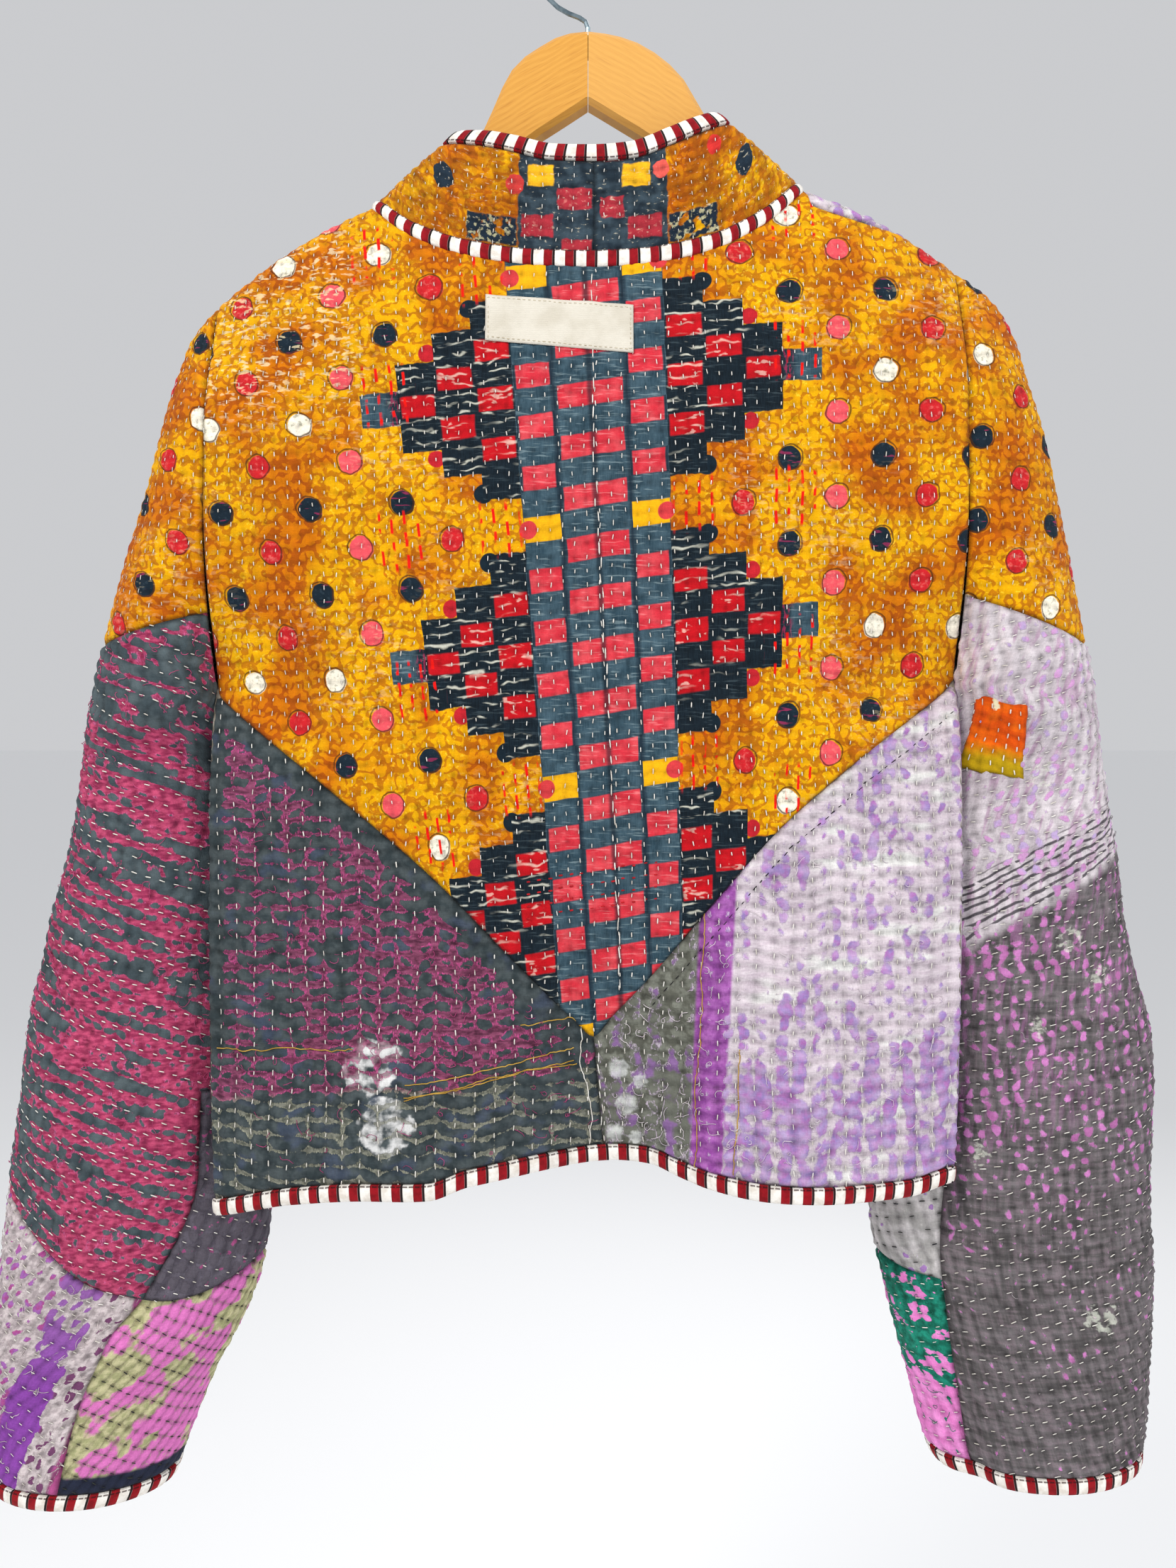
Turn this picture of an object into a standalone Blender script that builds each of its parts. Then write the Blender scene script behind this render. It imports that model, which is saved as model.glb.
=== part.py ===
"""A quilted kantha jacket that hangs on a wooden hanger, its back to the viewer.

Metres, +Z up. The origin is the point of the hook that rests on a rail. The jacket's
back faces -Y, its open front faces +Y and its left side, seen from behind, is -X.
Tables are in millimetres, and "drop" is a distance below the origin.
"""

import math
from collections import namedtuple

import bmesh
import bpy
from mathutils import Matrix, Vector
from mathutils.bvhtree import BVHTree
from mathutils.kdtree import KDTree

MM = 0.001

# Cloth
WALL = 2.4
SEAM_GAP = 0.3
QUILT_RISE = 0.7
BINDING_WIDTH = 9.0
BINDING_RISE = 1.0
BINDING_ROUND = 1.3
NECK_END = 0.6
NECK_LIFT = 0.4
NECK_END_LIFT = 1.3
NECK_THICK = (1.0, 1.6, 1.0)
QUILT_ROW = 9.5
WELD = 0.02
BLUNTEST_CORNER = 0.4

# How the wood hangs and what lies over it
HANGER_TILT = math.radians(2.5)
HANGER_BOW = math.radians(3.0)
HANGER_Y = 0.5
WOOD_THICK = 13.0
WOOD_ROUND = 2.5
CREST_ROUND = 12.0
CREST_HALF_DEPTH = 15.0
ARMHOLE_HALF_DEPTH = 32.0
FRONT_SHALLOWER = 2.0
ARMHOLE_OPENS_OVER = 70.0
UNDERARM_CLOSES_OVER = 105.0
RIDGE_FADES_OVER = 60.0
SLEEVE_LEAVES_OVER = 30.0

# Widths and heights of the body
NECK_HALF = 115.0
FRONT_EDGE = 24.0
CENTRE_SEAM = 3.0
CENTRE_SEAM_LEAN = 5.0
VALLEY_X = 15.0
VALLEY_HALF_WIDTH = 58.0
BACK_FLATNESS = 2.4
BACK_SHOULDERS = 0.85

# Hook
WIRE_RADIUS = 1.3
HOOK_RADIUS = 27.0
HOOK_DROP = 25.7
STEM_DEPTH = 12.0
WOOD_TOP = 62.0

LEFT, RIGHT = -1, 1


def smooth_curve(stations, values):
    """A curve through the stations that never overshoots them."""
    slopes = []
    steps = [b - a for a, b in zip(stations, stations[1:])]
    rises = [(b - a) / h for a, b, h in zip(values, values[1:], steps)]
    for i in range(len(stations)):
        if i == 0 or i == len(stations) - 1:
            slopes.append(rises[0] if i == 0 else rises[-1])
        elif rises[i - 1] * rises[i] <= 0:
            slopes.append(0.0)
        else:
            before, after = steps[i - 1], steps[i]
            slopes.append(3 * (before + after) / ((2 * after + before) / rises[i - 1]
                                                  + (after + 2 * before) / rises[i]))

    def curve(at):
        if at <= stations[0]:
            return values[0]
        if at >= stations[-1]:
            return values[-1]
        i = max(k for k in range(len(steps)) if stations[k] <= at)
        h = steps[i]
        t = (at - stations[i]) / h
        return (values[i] * (1 + 2 * t) * (1 - t) ** 2 + slopes[i] * h * t * (1 - t) ** 2
                + values[i + 1] * t * t * (3 - 2 * t) + slopes[i + 1] * h * t * t * (t - 1))

    return curve


def columns_of(rows):
    """One smooth curve for each named column, over the table's first column."""
    names = rows[0]._fields
    first = [row[0] for row in rows]
    return {name: smooth_curve(first, [getattr(row, name) for row in rows]) for name in names[1:]}


def quarter_round(t):
    t = min(max(t, 0.0), 1.0)
    return math.sqrt(1 - (1 - t) ** 2)


def ease(t):
    t = min(max(t, 0.0), 1.0)
    return t * t * (3 - 2 * t)


def mix(a, b, t):
    return a + (b - a) * t


# The shoulder's crest over the wood, level hanger
Crest = namedtuple("Crest", "x drop")
CREST = columns_of([
    Crest(0, 84), Crest(60, 116), Crest(115, 146), Crest(140, 157),
    Crest(163, 169.5), Crest(182, 181.5), Crest(199, 192.5), Crest(215, 203),
])

# How far the panels stand behind and before the wood at the middle of the back
Section = namedtuple("Section", "drop back front side valley")
BODY = columns_of([
    Section(140, 14, 14, 0, 0),
    Section(165, 22, 20, 0, 0),
    Section(188, 29, 24, 0, 0),
    Section(220, 35, 28, 0, 0),
    Section(260, 41, 31, -1, 0),
    Section(300, 46, 33, -3, 0),
    Section(350, 50, 34, -7, 0),
    Section(403, 54, 34, -13, 0),
    Section(416, 55, 34, -21, 0),
    Section(440, 57, 33, -28, 0),
    Section(500, 60, 32, -34, 3),
    Section(550, 62, 31, -37, 10),
    Section(600, 66, 30, -39, 20),
    Section(650, 74, 29, -42, 33),
    Section(690, 78, 28, -44, 38),
])

HalfWidth = namedtuple("HalfWidth", "drop left right")
HALF_WIDTH = columns_of([
    HalfWidth(400, 198, 196), HalfWidth(460, 198, 196),
    HalfWidth(605, 198, 194.5), HalfWidth(690, 195, 190),
])

# Outlines of the back: the neck's seam, the seam of the pointed yoke and the hem's edge
BackNeck = namedtuple("BackNeck", "x drop")
BACK_NECK = columns_of([
    BackNeck(-115, 151.0), BackNeck(-92, 170), BackNeck(-62, 182), BackNeck(-29, 187),
    BackNeck(0, 188), BackNeck(26, 186.6), BackNeck(62, 179.4), BackNeck(92, 163),
    BackNeck(115, 141.0),
])
Yoke = namedtuple("Yoke", "x drop")
YOKE = columns_of([
    Yoke(-198, 409), Yoke(-134, 457), Yoke(-79, 502), Yoke(-36.5, 546), Yoke(-7, 577),
    Yoke(3, 586), Yoke(12, 576), Yoke(32, 554), Yoke(59.5, 520), Yoke(98, 477),
    Yoke(137.5, 444), Yoke(196, 403),
])
Hem = namedtuple("Hem", "x drop")
HEM = columns_of([
    Hem(-196, 682), Hem(-154, 670), Hem(-116, 665), Hem(-84, 664), Hem(-64, 658),
    Hem(-29, 655), Hem(8, 654), Hem(28, 655), Hem(44, 660), Hem(61, 664), Hem(95, 667),
    Hem(130, 668), Hem(168, 668), Hem(190, 665),
])
FrontNeck = namedtuple("FrontNeck", "x drop")
FRONT_NECK = columns_of([
    FrontNeck(24, 214), FrontNeck(48, 204), FrontNeck(72, 189), FrontNeck(95, 169),
    FrontNeck(115, 146),
])
FrontHem = namedtuple("FrontHem", "x drop")
FRONT_HEM = {
    LEFT: columns_of([FrontHem(20, 672), FrontHem(120, 673), FrontHem(200, 682)]),
    RIGHT: columns_of([FrontHem(20, 672), FrontHem(120, 670), FrontHem(200, 665)]),
}

# The right front reaches over the crest, and its seam lies a little way down the back
RightShoulder = namedtuple("RightShoulder", "x over")
RIGHT_SHOULDER = columns_of([
    RightShoulder(100, 13), RightShoulder(137, 11), RightShoulder(160, 5), RightShoulder(175, 0),
])
OVERLAP_ROWS = (1.0, 1.35, 1.8)

# The collar's upper edge for each place on the neck's seam
CollarEdge = namedtuple("CollarEdge", "x top_x y drop")
COLLAR_BACK = columns_of([
    CollarEdge(-115, -70, 1, 116), CollarEdge(-108, -67.5, -10, 116),
    CollarEdge(-86, -55, -17, 118), CollarEdge(-58, -37, -22.5, 123),
    CollarEdge(-28, -17, -25, 128.5), CollarEdge(3, 3, -26, 129.5), CollarEdge(31, 21, -25, 127.5),
    CollarEdge(59, 40, -21.5, 119), CollarEdge(86, 54, -16, 111), CollarEdge(108, 65.5, -10, 105.5),
    CollarEdge(115, 68, 1, 104),
])
COLLAR_FRONT = columns_of([
    CollarEdge(24, 22, 29, 156), CollarEdge(52, 39, 27, 140), CollarEdge(82, 55, 22, 124),
    CollarEdge(108, 67, 14, 112), CollarEdge(115, 69, 1, 110),
])
COLLAR_SLOPE = {LEFT: 6, RIGHT: -6}

# Each sleeve's silhouette and depth: outer and inner edge, and how far it rounds out
Tube = namedtuple("Tube", "drop outer inner y_outer y_inner back front")
TUBE = {
    LEFT: columns_of([
        Tube(203, 201, 198, 9, 0, 32, 30),
        Tube(220, 214.5, 198, 8, 0, 32, 30),
        Tube(228, 216.5, 198, 6, 0, 32, 30),
        Tube(248, 223, 198, 4, 0, 32, 30),
        Tube(295, 234.5, 198, 1, 0, 32, 30),
        Tube(340, 248.5, 198, -1, 0, 32, 30),
        Tube(386, 261, 198, -2, 0, 32, 30),
        Tube(409, 266, 198, -3, -13, 32, 30),
        Tube(417, 268, 199.5, -3, -7, 32, 30),
        Tube(430, 270, 199, -3, 2, 32, 30),
        Tube(450, 273, 193, -3, 6, 33, 31),
        Tube(477, 277.5, 186, -3, 8, 35, 32),
        Tube(538, 294, 182, -3, 9, 37, 33),
        Tube(594, 307, 181, -3, 9, 38, 33),
        Tube(641, 314.5, 180, -3, 8, 38, 33),
        Tube(679, 320.5, 179, -3, 6, 37, 32),
        Tube(704, 324, 180, -3, 4, 36, 31),
        Tube(729, 327, 184, -3, 2, 35, 31),
        Tube(757, 331.5, 194, -3, 0, 34, 30),
        Tube(790, 334, 211, -3, -1, 33, 30),
        Tube(827, 335.5, 226, -3, -2, 33, 30),
        Tube(862, 336, 239, -3, -3, 33, 30),
    ]),
    RIGHT: columns_of([
        Tube(184, 199.5, 196, 9, 0, 32, 30),
        Tube(201, 220, 196, 8, 0, 32, 30),
        Tube(212, 226, 196, 6, 0, 32, 30),
        Tube(224, 231, 196, 5, 0, 32, 30),
        Tube(242, 235.5, 196, 4, 0, 32, 30),
        Tube(268, 243.5, 196, 2, 0, 32, 30),
        Tube(302, 251.5, 196, 0, 0, 32, 30),
        Tube(356, 262.5, 196, -1, 0, 32, 30),
        Tube(394, 269.5, 196, -2, 0, 32, 30),
        Tube(403, 271, 196, -3, -13, 32, 30),
        Tube(411, 272, 197.5, -3, -7, 32, 30),
        Tube(424, 274, 197, -3, 2, 32, 30),
        Tube(445, 277, 190, -3, 6, 33, 31),
        Tube(475, 283, 180, -3, 8, 35, 32),
        Tube(507, 289, 173, -3, 9, 36, 33),
        Tube(552, 297, 166, -3, 9, 37, 33),
        Tube(593, 308, 163, -3, 9, 38, 33),
        Tube(623, 311, 161, -3, 8, 38, 33),
        Tube(676, 311, 159, -3, 7, 37, 32),
        Tube(701, 312, 160, -3, 5, 36, 31),
        Tube(741, 314.5, 168, -3, 2, 36, 31),
        Tube(791, 313, 181, -3, 0, 36, 31),
        Tube(827, 311, 191, -3, -1, 36, 31),
        Tube(850, 309, 203, -3, -2, 36, 31),
    ]),
}

# Slant of the rows across a sleeve: "tilt" lowers the outer edge, "dip" the middle
SleeveRow = namedtuple("SleeveRow", "row drop tilt dip")
ARM_ROWS = 22
SLEEVE_ROWS = {
    LEFT: [
        SleeveRow(22, 409, 10, 0), SleeveRow(36, 622, -12, 4),
        SleeveRow(43, 722, -45, 32), SleeveRow(51, 841, 0, 0),
    ],
    RIGHT: [
        SleeveRow(22, 403, 12, 0), SleeveRow(36, 622, 0, 4),
        SleeveRow(43, 722, 8, 8), SleeveRow(50, 830, 0, 0),
    ],
}
ArmRow = namedtuple("ArmRow", "row tilt")
ARM_TILT = {
    LEFT: columns_of([ArmRow(0, 18), ArmRow(3, 17), ArmRow(18, 17), ArmRow(22, 10)]),
    RIGHT: columns_of([ArmRow(0, 17), ArmRow(3, 17), ArmRow(11, 20), ArmRow(18, 25), ArmRow(22, 12)]),
}
UPPER_ENDS = 18
UNDER_STARTS = 36
UNDER_ENDS = 43

# Columns round a sleeve, and where the seam along it runs, as a share of its round
SLEEVE_COLUMNS = 16
SEAM_COLUMN = 4
OUTER_COLUMN = 8
HIDDEN_COLUMN = 12
LongSeam = namedtuple("LongSeam", "drop share")
LONG_SEAM = {
    LEFT: columns_of([
        LongSeam(540, 0.25), LongSeam(622, 0.15), LongSeam(660, 0.15), LongSeam(722, 0.22),
        LongSeam(750, 0.25), LongSeam(850, 0.26),
    ]),
    RIGHT: columns_of([
        LongSeam(540, 0.25), LongSeam(622, 0.16), LongSeam(670, 0.146), LongSeam(850, 0.106),
    ]),
}

# Large folds of the sleeves: soft troughs along a line from one place to another
Trough = namedtuple("Trough", "side share0 drop0 share1 drop1 width depth")
TROUGHS = [
    Trough(RIGHT, 0.16, 600, 0.115, 850, 0.035, 5),
    Trough(LEFT, 0.11, 640, 0.23, 735, 0.04, 4),
    Trough(LEFT, 0.40, 560, 0.22, 650, 0.05, 3),
    Trough(RIGHT, 0.24, 452, 0.42, 520, 0.05, 2.5),
    Trough(LEFT, 0.90, 620, 0.70, 700, 0.05, 4),
    Trough(RIGHT, 0.90, 600, 0.72, 690, 0.05, 4),
]
TROUGH_END = 30.0

# Rows of the body, as shares of a column's height
CREST_ROWS = [0.0, 0.012, 0.035, 0.065, 0.1]
LOWER_ROWS = 14
BACK_COLUMNS = [-198, -183, -160, -137, -115, -108, -86, -58, -28, CENTRE_SEAM,
                31, 59, 86, 108, 115, 137, 160, 181, 196]
FRONT_COLUMNS = [24, 52, 82, 108, 115, 137, 160]
COLLAR_ROWS = [0.0, 0.085, 0.3, 0.55, 0.8, 1.0]
COLLAR_BELLY = 2.0

# The woven label and the sewn-on patch
LabelCorner = namedtuple("LabelCorner", "x drop")
LABEL_CORNERS = [
    LabelCorner(-52, 207.5), LabelCorner(23, 213), LabelCorner(23, 238), LabelCorner(-52, 231.5),
]
PatchCorner = namedtuple("PatchCorner", "share drop")
PATCH_CORNERS = [
    PatchCorner(0.085, 409), PatchCorner(0.207, 412), PatchCorner(0.229, 450), PatchCorner(0.108, 448),
]
APPLIED_LIFT = 0.8
APPLIED_THICK = 0.8
APPLIED_REACH = 8.0
NUDGE_DOWN = 0.5
NUDGE_SHARE = 0.02

# The wood's outline: its hump in the middle, then how far its arms lie below the crest
Hump = namedtuple("Hump", "x top bottom")
HUMP = {
    LEFT: [
        Hump(0, 62, 99), Hump(9, 62.6, 104.5), Hump(17, 64.8, 109.3), Hump(25, 69, 114),
        Hump(33, 73.8, 119.5), Hump(40, 80.5, 124), Hump(45, 89, 127.5), Hump(50, 100, 131),
        Hump(57, 114.5, 136), Hump(65, 125, 142), Hump(75, 134, 149), Hump(92, 144.5, 160),
    ],
    RIGHT: [
        Hump(0, 62, 99), Hump(9, 62.8, 104), Hump(17, 64.2, 108.5), Hump(26, 67, 113.5),
        Hump(35, 71.7, 119), Hump(43, 77.5, 123.5), Hump(50.5, 85, 127.5), Hump(58, 97, 131.5),
        Hump(63, 105, 134.5), Hump(70, 114, 138.5), Hump(78, 122, 143), Hump(92, 133, 151),
    ],
}
Arm = namedtuple("Arm", "x below depth")
ARM = [
    Arm(115, 7.0, 16), Arm(137, 6.4, 18), Arm(160, 5.4, 19), Arm(182, 4.6, 17),
    Arm(195, 6.0, 13), Arm(201, 8.5, 8),
]

COLOURS = {
    "yellow": (0.72, 0.40, 0.03), "slate": (0.10, 0.12, 0.12), "lilac": (0.45, 0.38, 0.46),
    "plum": (0.12, 0.09, 0.12), "magenta": (0.25, 0.05, 0.12), "sage": (0.36, 0.30, 0.24),
    "charcoal": (0.09, 0.085, 0.09), "rose": (0.45, 0.16, 0.36), "orange": (0.70, 0.12, 0.01),
    "binding": (0.45, 0.20, 0.20), "cream": (0.80, 0.76, 0.66), "wood": (0.66, 0.38, 0.12),
    "steel": (0.33, 0.38, 0.42),
}
PIECE_COLOUR = {
    "back_upper": "yellow", "back_lower_left": "slate", "back_lower_right": "lilac",
    "front_left": "slate", "front_right": "lilac",
    "sleeve_left_upper": "yellow", "sleeve_left_mid": "magenta", "sleeve_left_under": "plum",
    "sleeve_left_fore_outer": "lilac", "sleeve_left_fore_inner": "sage",
    "sleeve_right_upper": "yellow", "sleeve_right_main": "charcoal",
    "sleeve_right_under_top": "lilac", "sleeve_right_under_low": "rose",
    "collar_left": "yellow", "collar_right": "yellow",
}
PANELS = list(PIECE_COLOUR)

# Panels whose surfaces run into each other smoothly, and how sharp a groove parts the rest
GROUP = {piece: "body" if piece.startswith(("back", "front")) else "_".join(piece.split("_")[:2])
         for piece in PANELS}
GROUP["collar_left"] = GROUP["collar_right"] = "collar"
GROOVE_OWN = -0.1
GROOVE_SHARED = 0.5


def crest_drop(x):
    return CREST["drop"](abs(x)) - x * math.tan(HANGER_TILT)


def crest_y(x):
    return HANGER_Y + abs(x) * math.tan(HANGER_BOW)


def underarm(side):
    return YOKE["drop"](-198 if side == LEFT else 196)


def half_width(x, drop):
    return HALF_WIDTH["left" if x < 0 else "right"](drop)


def armhole_half_depth(below_crest, front):
    full = ARMHOLE_HALF_DEPTH - (FRONT_SHALLOWER if front else 0)
    return mix(CREST_HALF_DEPTH, full, ease(below_crest / ARMHOLE_OPENS_OVER))


def armhole_opening(side, drop):
    """The share of its depth to which the armhole is open, none at the underarm."""
    share = min(max((underarm(side) - drop) / UNDERARM_CLOSES_OVER, 0.0), 1.0)
    return math.sin(share * math.pi / 2)


def body_y(x, drop, front=False):
    """How far forward the cloth lies at a place on the back or on a front."""
    side = LEFT if x < 0 else RIGHT
    below = max(drop - crest_drop(x), 0.0)
    across = min(abs(x) / half_width(x, drop), 1.0)
    arm = armhole_half_depth(below, front) * armhole_opening(side, drop)
    if front:
        edge = BODY["side"](drop) + arm
        centre = BODY["front"](drop)
        bulge = 1 - across ** 2
    else:
        edge = BODY["side"](drop) - arm
        valley = math.exp(-((x - VALLEY_X) / VALLEY_HALF_WIDTH) ** 2)
        centre = -BODY["back"](drop)
        bulge = (1 - across ** BACK_FLATNESS) ** BACK_SHOULDERS
    y = mix(edge, centre, bulge)
    if not front:
        y += BODY["valley"](drop) * valley
    ridge = crest_y(x) * math.exp(-below / RIDGE_FADES_OVER)
    return ridge + quarter_round(below / CREST_ROUND) * y


def body_point(x, drop, front=False):
    return Vector((x, body_y(x, drop, front), -drop)) * MM


def row_share(row):
    """The share of a column's height at one of the rows above the underarm."""
    if row < len(CREST_ROWS):
        return CREST_ROWS[row]
    first = len(CREST_ROWS) - 1
    return mix(CREST_ROWS[-1], 1.0, (row - first) / (ARM_ROWS - first))


def back_top(x):
    if abs(x) < NECK_HALF:
        return BACK_NECK["drop"](x)
    return crest_drop(x)


def shoulder_overlap(x):
    """How far the right front's seam lies below the crest, on the back."""
    if x < NECK_HALF - 1:
        return 0.0
    return RIGHT_SHOULDER["over"](x)


def back_upper_rows():
    sheet = []
    for row in range(ARM_ROWS + 1):
        line = []
        for x in BACK_COLUMNS:
            top = back_top(x)
            drop = mix(top, YOKE["drop"](x), row_share(row))
            over = shoulder_overlap(x)
            if over > 0 and 0 < row <= len(OVERLAP_ROWS):
                drop = max(drop, top + over * OVERLAP_ROWS[row - 1])
            line.append(body_point(x, drop))
        sheet.append(line)
    return sheet


def back_lower_rows():
    sheet = []
    for row in range(LOWER_ROWS + 1):
        share = row / LOWER_ROWS
        line = []
        for x in BACK_COLUMNS:
            side_x = BACK_COLUMNS[0] if x < 0 else BACK_COLUMNS[-1]
            drop = mix(YOKE["drop"](x), HEM["drop"](x) - BINDING_WIDTH, share)
            lean = CENTRE_SEAM_LEAN * share * (1 - abs(x / side_x))
            here = x / abs(side_x) * half_width(x, drop) + lean
            line.append(body_point(here, drop))
        sheet.append(line)
    return sheet


def front_columns(side):
    outer = [BACK_COLUMNS[1], BACK_COLUMNS[0]] if side == LEFT else BACK_COLUMNS[-2:]
    return [side * x for x in FRONT_COLUMNS] + list(outer)


def front_top(x):
    if abs(x) < NECK_HALF:
        slope = x * math.tan(HANGER_TILT)
        return FRONT_NECK["drop"](abs(x)) - slope
    return crest_drop(x)


def front_rows(side):
    sheet = []
    for row in range(ARM_ROWS + LOWER_ROWS + 1):
        line = []
        for x in front_columns(side):
            middle = underarm(side)
            if row <= ARM_ROWS:
                drop = mix(front_top(x), middle, row_share(row))
                here = x
            else:
                hem = FRONT_HEM[side]["drop"](abs(x)) - BINDING_WIDTH
                if abs(x) == abs(front_columns(side)[-1]):
                    hem = HEM["drop"](x) - BINDING_WIDTH
                drop = mix(middle, hem, (row - ARM_ROWS) / LOWER_ROWS)
                here = x * half_width(x, drop) / abs(front_columns(side)[-1])
            line.append(body_point(here, drop, front=True))
        sheet.append(line)
    return sheet


def share_of_round(side, column, drop):
    seam = LONG_SEAM[side]["share"](drop)
    marks = ((0, 0.0), (SEAM_COLUMN, seam), (OUTER_COLUMN, 0.5), (HIDDEN_COLUMN, 0.75),
             (SLEEVE_COLUMNS, 1.0))
    for (c0, s0), (c1, s1) in zip(marks, marks[1:]):
        if c0 <= column <= c1:
            return mix(s0, s1, (column - c0) / (c1 - c0))


def trough_depth(side, share, drop):
    """How deep the folds press the sleeve in at a place on its round."""
    depth = 0.0
    for fold in TROUGHS:
        if fold.side != side:
            continue
        along = (drop - fold.drop0) / (fold.drop1 - fold.drop0)
        if not -1 < along < 2:
            continue
        centre = mix(fold.share0, fold.share1, min(max(along, 0), 1))
        away = abs(share - centre)
        away = min(away, 1 - away) / fold.width
        before = max(fold.drop0 - drop, drop - fold.drop1, 0) / TROUGH_END
        depth += fold.depth * math.exp(-away * away) * (1 - ease(before))
    return depth


def sleeve_point(side, share, row, edge_drop, tilt, dip):
    """A place on a sleeve: share 0 is its inner edge behind, 0.5 outer, 1 inner before."""
    tube = TUBE[side]
    front = share > 0.5
    armhole_x = tube["inner"](0)
    outer_drop = edge_drop + tilt
    outer = tube["outer"](outer_drop)
    if row < ARM_ROWS:
        below = edge_drop - crest_drop(side * armhole_x)
        start = math.asin(armhole_opening(side, edge_drop))
        half_depth = armhole_half_depth(below, front) * quarter_round(below / CREST_ROUND)
        inner = armhole_x
        fold = quarter_round(below / CREST_ROUND)
        y_inner = BODY["side"](edge_drop) * fold
        y_inner += crest_y(armhole_x) * math.exp(-max(below, 0) / RIDGE_FADES_OVER)
    else:
        start = 0.0
        half_depth = tube["front" if front else "back"](edge_drop)
        inner = tube["inner"](edge_drop)
        leave = ease((edge_drop - underarm(side)) / SLEEVE_LEAVES_OVER)
        y_start = BODY["side"](underarm(side))
        y_start += crest_y(armhole_x) * math.exp(
            -(underarm(side) - crest_drop(side * armhole_x)) / RIDGE_FADES_OVER)
        y_inner = mix(y_start, tube["y_inner"](edge_drop), leave)
    turn = mix(start, math.pi, min(share, 1 - share) * 2)
    across = (math.cos(start) - math.cos(turn)) / (1 + math.cos(start))
    x = mix(inner, outer, across)
    middle = mix(y_inner, tube["y_outer"](outer_drop), across)
    y = middle + (half_depth if front else -half_depth) * math.sin(turn)
    drop = edge_drop + tilt * across + dip * 4 * across * (1 - across)
    pressed = trough_depth(side, share, drop)
    centre_x = mix(inner, outer, 0.5)
    reach = math.hypot(x - centre_x, y - middle)
    if reach > 0 and row > ARM_ROWS:
        x += (centre_x - x) * pressed / reach
        y += (middle - y) * pressed / reach
    return Vector((side * x, y, -drop)) * MM


def sleeve_row(side, row):
    """The drop at the inner edge, the tilt and the dip of one row."""
    if row <= ARM_ROWS:
        top = crest_drop(BACK_COLUMNS[0] if side == LEFT else BACK_COLUMNS[-1])
        return mix(top, underarm(side), row_share(row)), ARM_TILT[side]["tilt"](row), 0.0
    for start, end in zip(SLEEVE_ROWS[side], SLEEVE_ROWS[side][1:]):
        if row <= end.row:
            t = (row - start.row) / (end.row - start.row)
            return (mix(start.drop, end.drop, t), mix(start.tilt, end.tilt, t),
                    mix(start.dip, end.dip, t))


def sleeve_rows(side):
    sheet = []
    for row in range(SLEEVE_ROWS[side][-1].row + 1):
        drop, tilt, dip = sleeve_row(side, row)
        sheet.append([sleeve_point(side, share_of_round(side, column, drop), row, drop, tilt, dip)
                      for column in range(SLEEVE_COLUMNS + 1)])
    return sheet


def sleeve_piece(side, row, column):
    inner = column < SEAM_COLUMN or column >= HIDDEN_COLUMN
    if row < UPPER_ENDS:
        return "sleeve_left_upper" if side == LEFT else "sleeve_right_upper"
    if side == RIGHT:
        if row < UNDER_STARTS or not inner:
            return "sleeve_right_main"
        return "sleeve_right_under_top" if row < UNDER_ENDS else "sleeve_right_under_low"
    if row < UNDER_STARTS or (row < UNDER_ENDS and not inner):
        return "sleeve_left_mid"
    if row < UNDER_ENDS:
        return "sleeve_left_under"
    return "sleeve_left_fore_inner" if inner else "sleeve_left_fore_outer"


def collar_columns():
    """Round the neck from the left front edge over the back to the right front edge."""
    fronts = FRONT_COLUMNS[:FRONT_COLUMNS.index(int(NECK_HALF))]
    backs = [x for x in BACK_COLUMNS if abs(x) <= NECK_HALF]
    ring = [(-x, True) for x in fronts]
    ring += [(x, False) for x in backs]
    ring += [(x, True) for x in reversed(fronts)]
    return ring


def collar_rows():
    """Rows from the neck's seam up to where the binding starts, and the edge above it."""
    seam, edge = [], []
    for x, front in collar_columns():
        if front:
            seam.append(body_point(x, front_top(x), front=True))
            table, slope, sign = COLLAR_FRONT, COLLAR_SLOPE[LEFT if x < 0 else RIGHT], math.copysign(1, x)
            share = (abs(x) - FRONT_EDGE) / (NECK_HALF - FRONT_EDGE)
            edge.append(Vector((sign * table["top_x"](abs(x)), table["y"](abs(x)),
                                -table["drop"](abs(x)) - slope * share)) * MM)
        else:
            seam.append(body_point(x, back_top(x)))
            table = COLLAR_BACK
            edge.append(Vector((table["top_x"](x), table["y"](x), -table["drop"](x))) * MM)
    centre = Vector((0, -2, 0)) * MM
    sheet = []
    for share in COLLAR_ROWS:
        line = []
        for low, high in zip(seam, edge):
            reach = (high - low).length
            t = share * (1 - BINDING_WIDTH * MM / reach)
            place = low.lerp(high, t)
            out = Vector((place.x, place.y - centre.y, 0)).normalized()
            line.append(place + out * COLLAR_BELLY * MM * 4 * t * (1 - t))
        sheet.append(line)
    return sheet


def add_sheet(bm, piece_layer, sheet, piece_of, outward, flat_rows=0):
    """Add a grid of places as faces, each marked with the piece that it belongs to."""
    flat = bm.verts.layers.int["flat"]
    grid = []
    for row, line in enumerate(sheet):
        grid.append([bm.verts.new(place) for place in line])
        for vert in grid[-1]:
            vert[flat] = int(row < flat_rows)
    for r in range(len(grid) - 1):
        for c in range(len(grid[0]) - 1):
            corners = [grid[r][c], grid[r + 1][c], grid[r + 1][c + 1], grid[r][c + 1]]
            if not outward:
                corners.reverse()
            face = bm.faces.new(corners)
            face[piece_layer] = PANELS.index(piece_of(r, c))


def back_upper_piece(row, column):
    x = BACK_COLUMNS[column]
    if row == 0 and x >= NECK_HALF and x < 160:
        return "front_right"
    return "back_upper"


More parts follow.
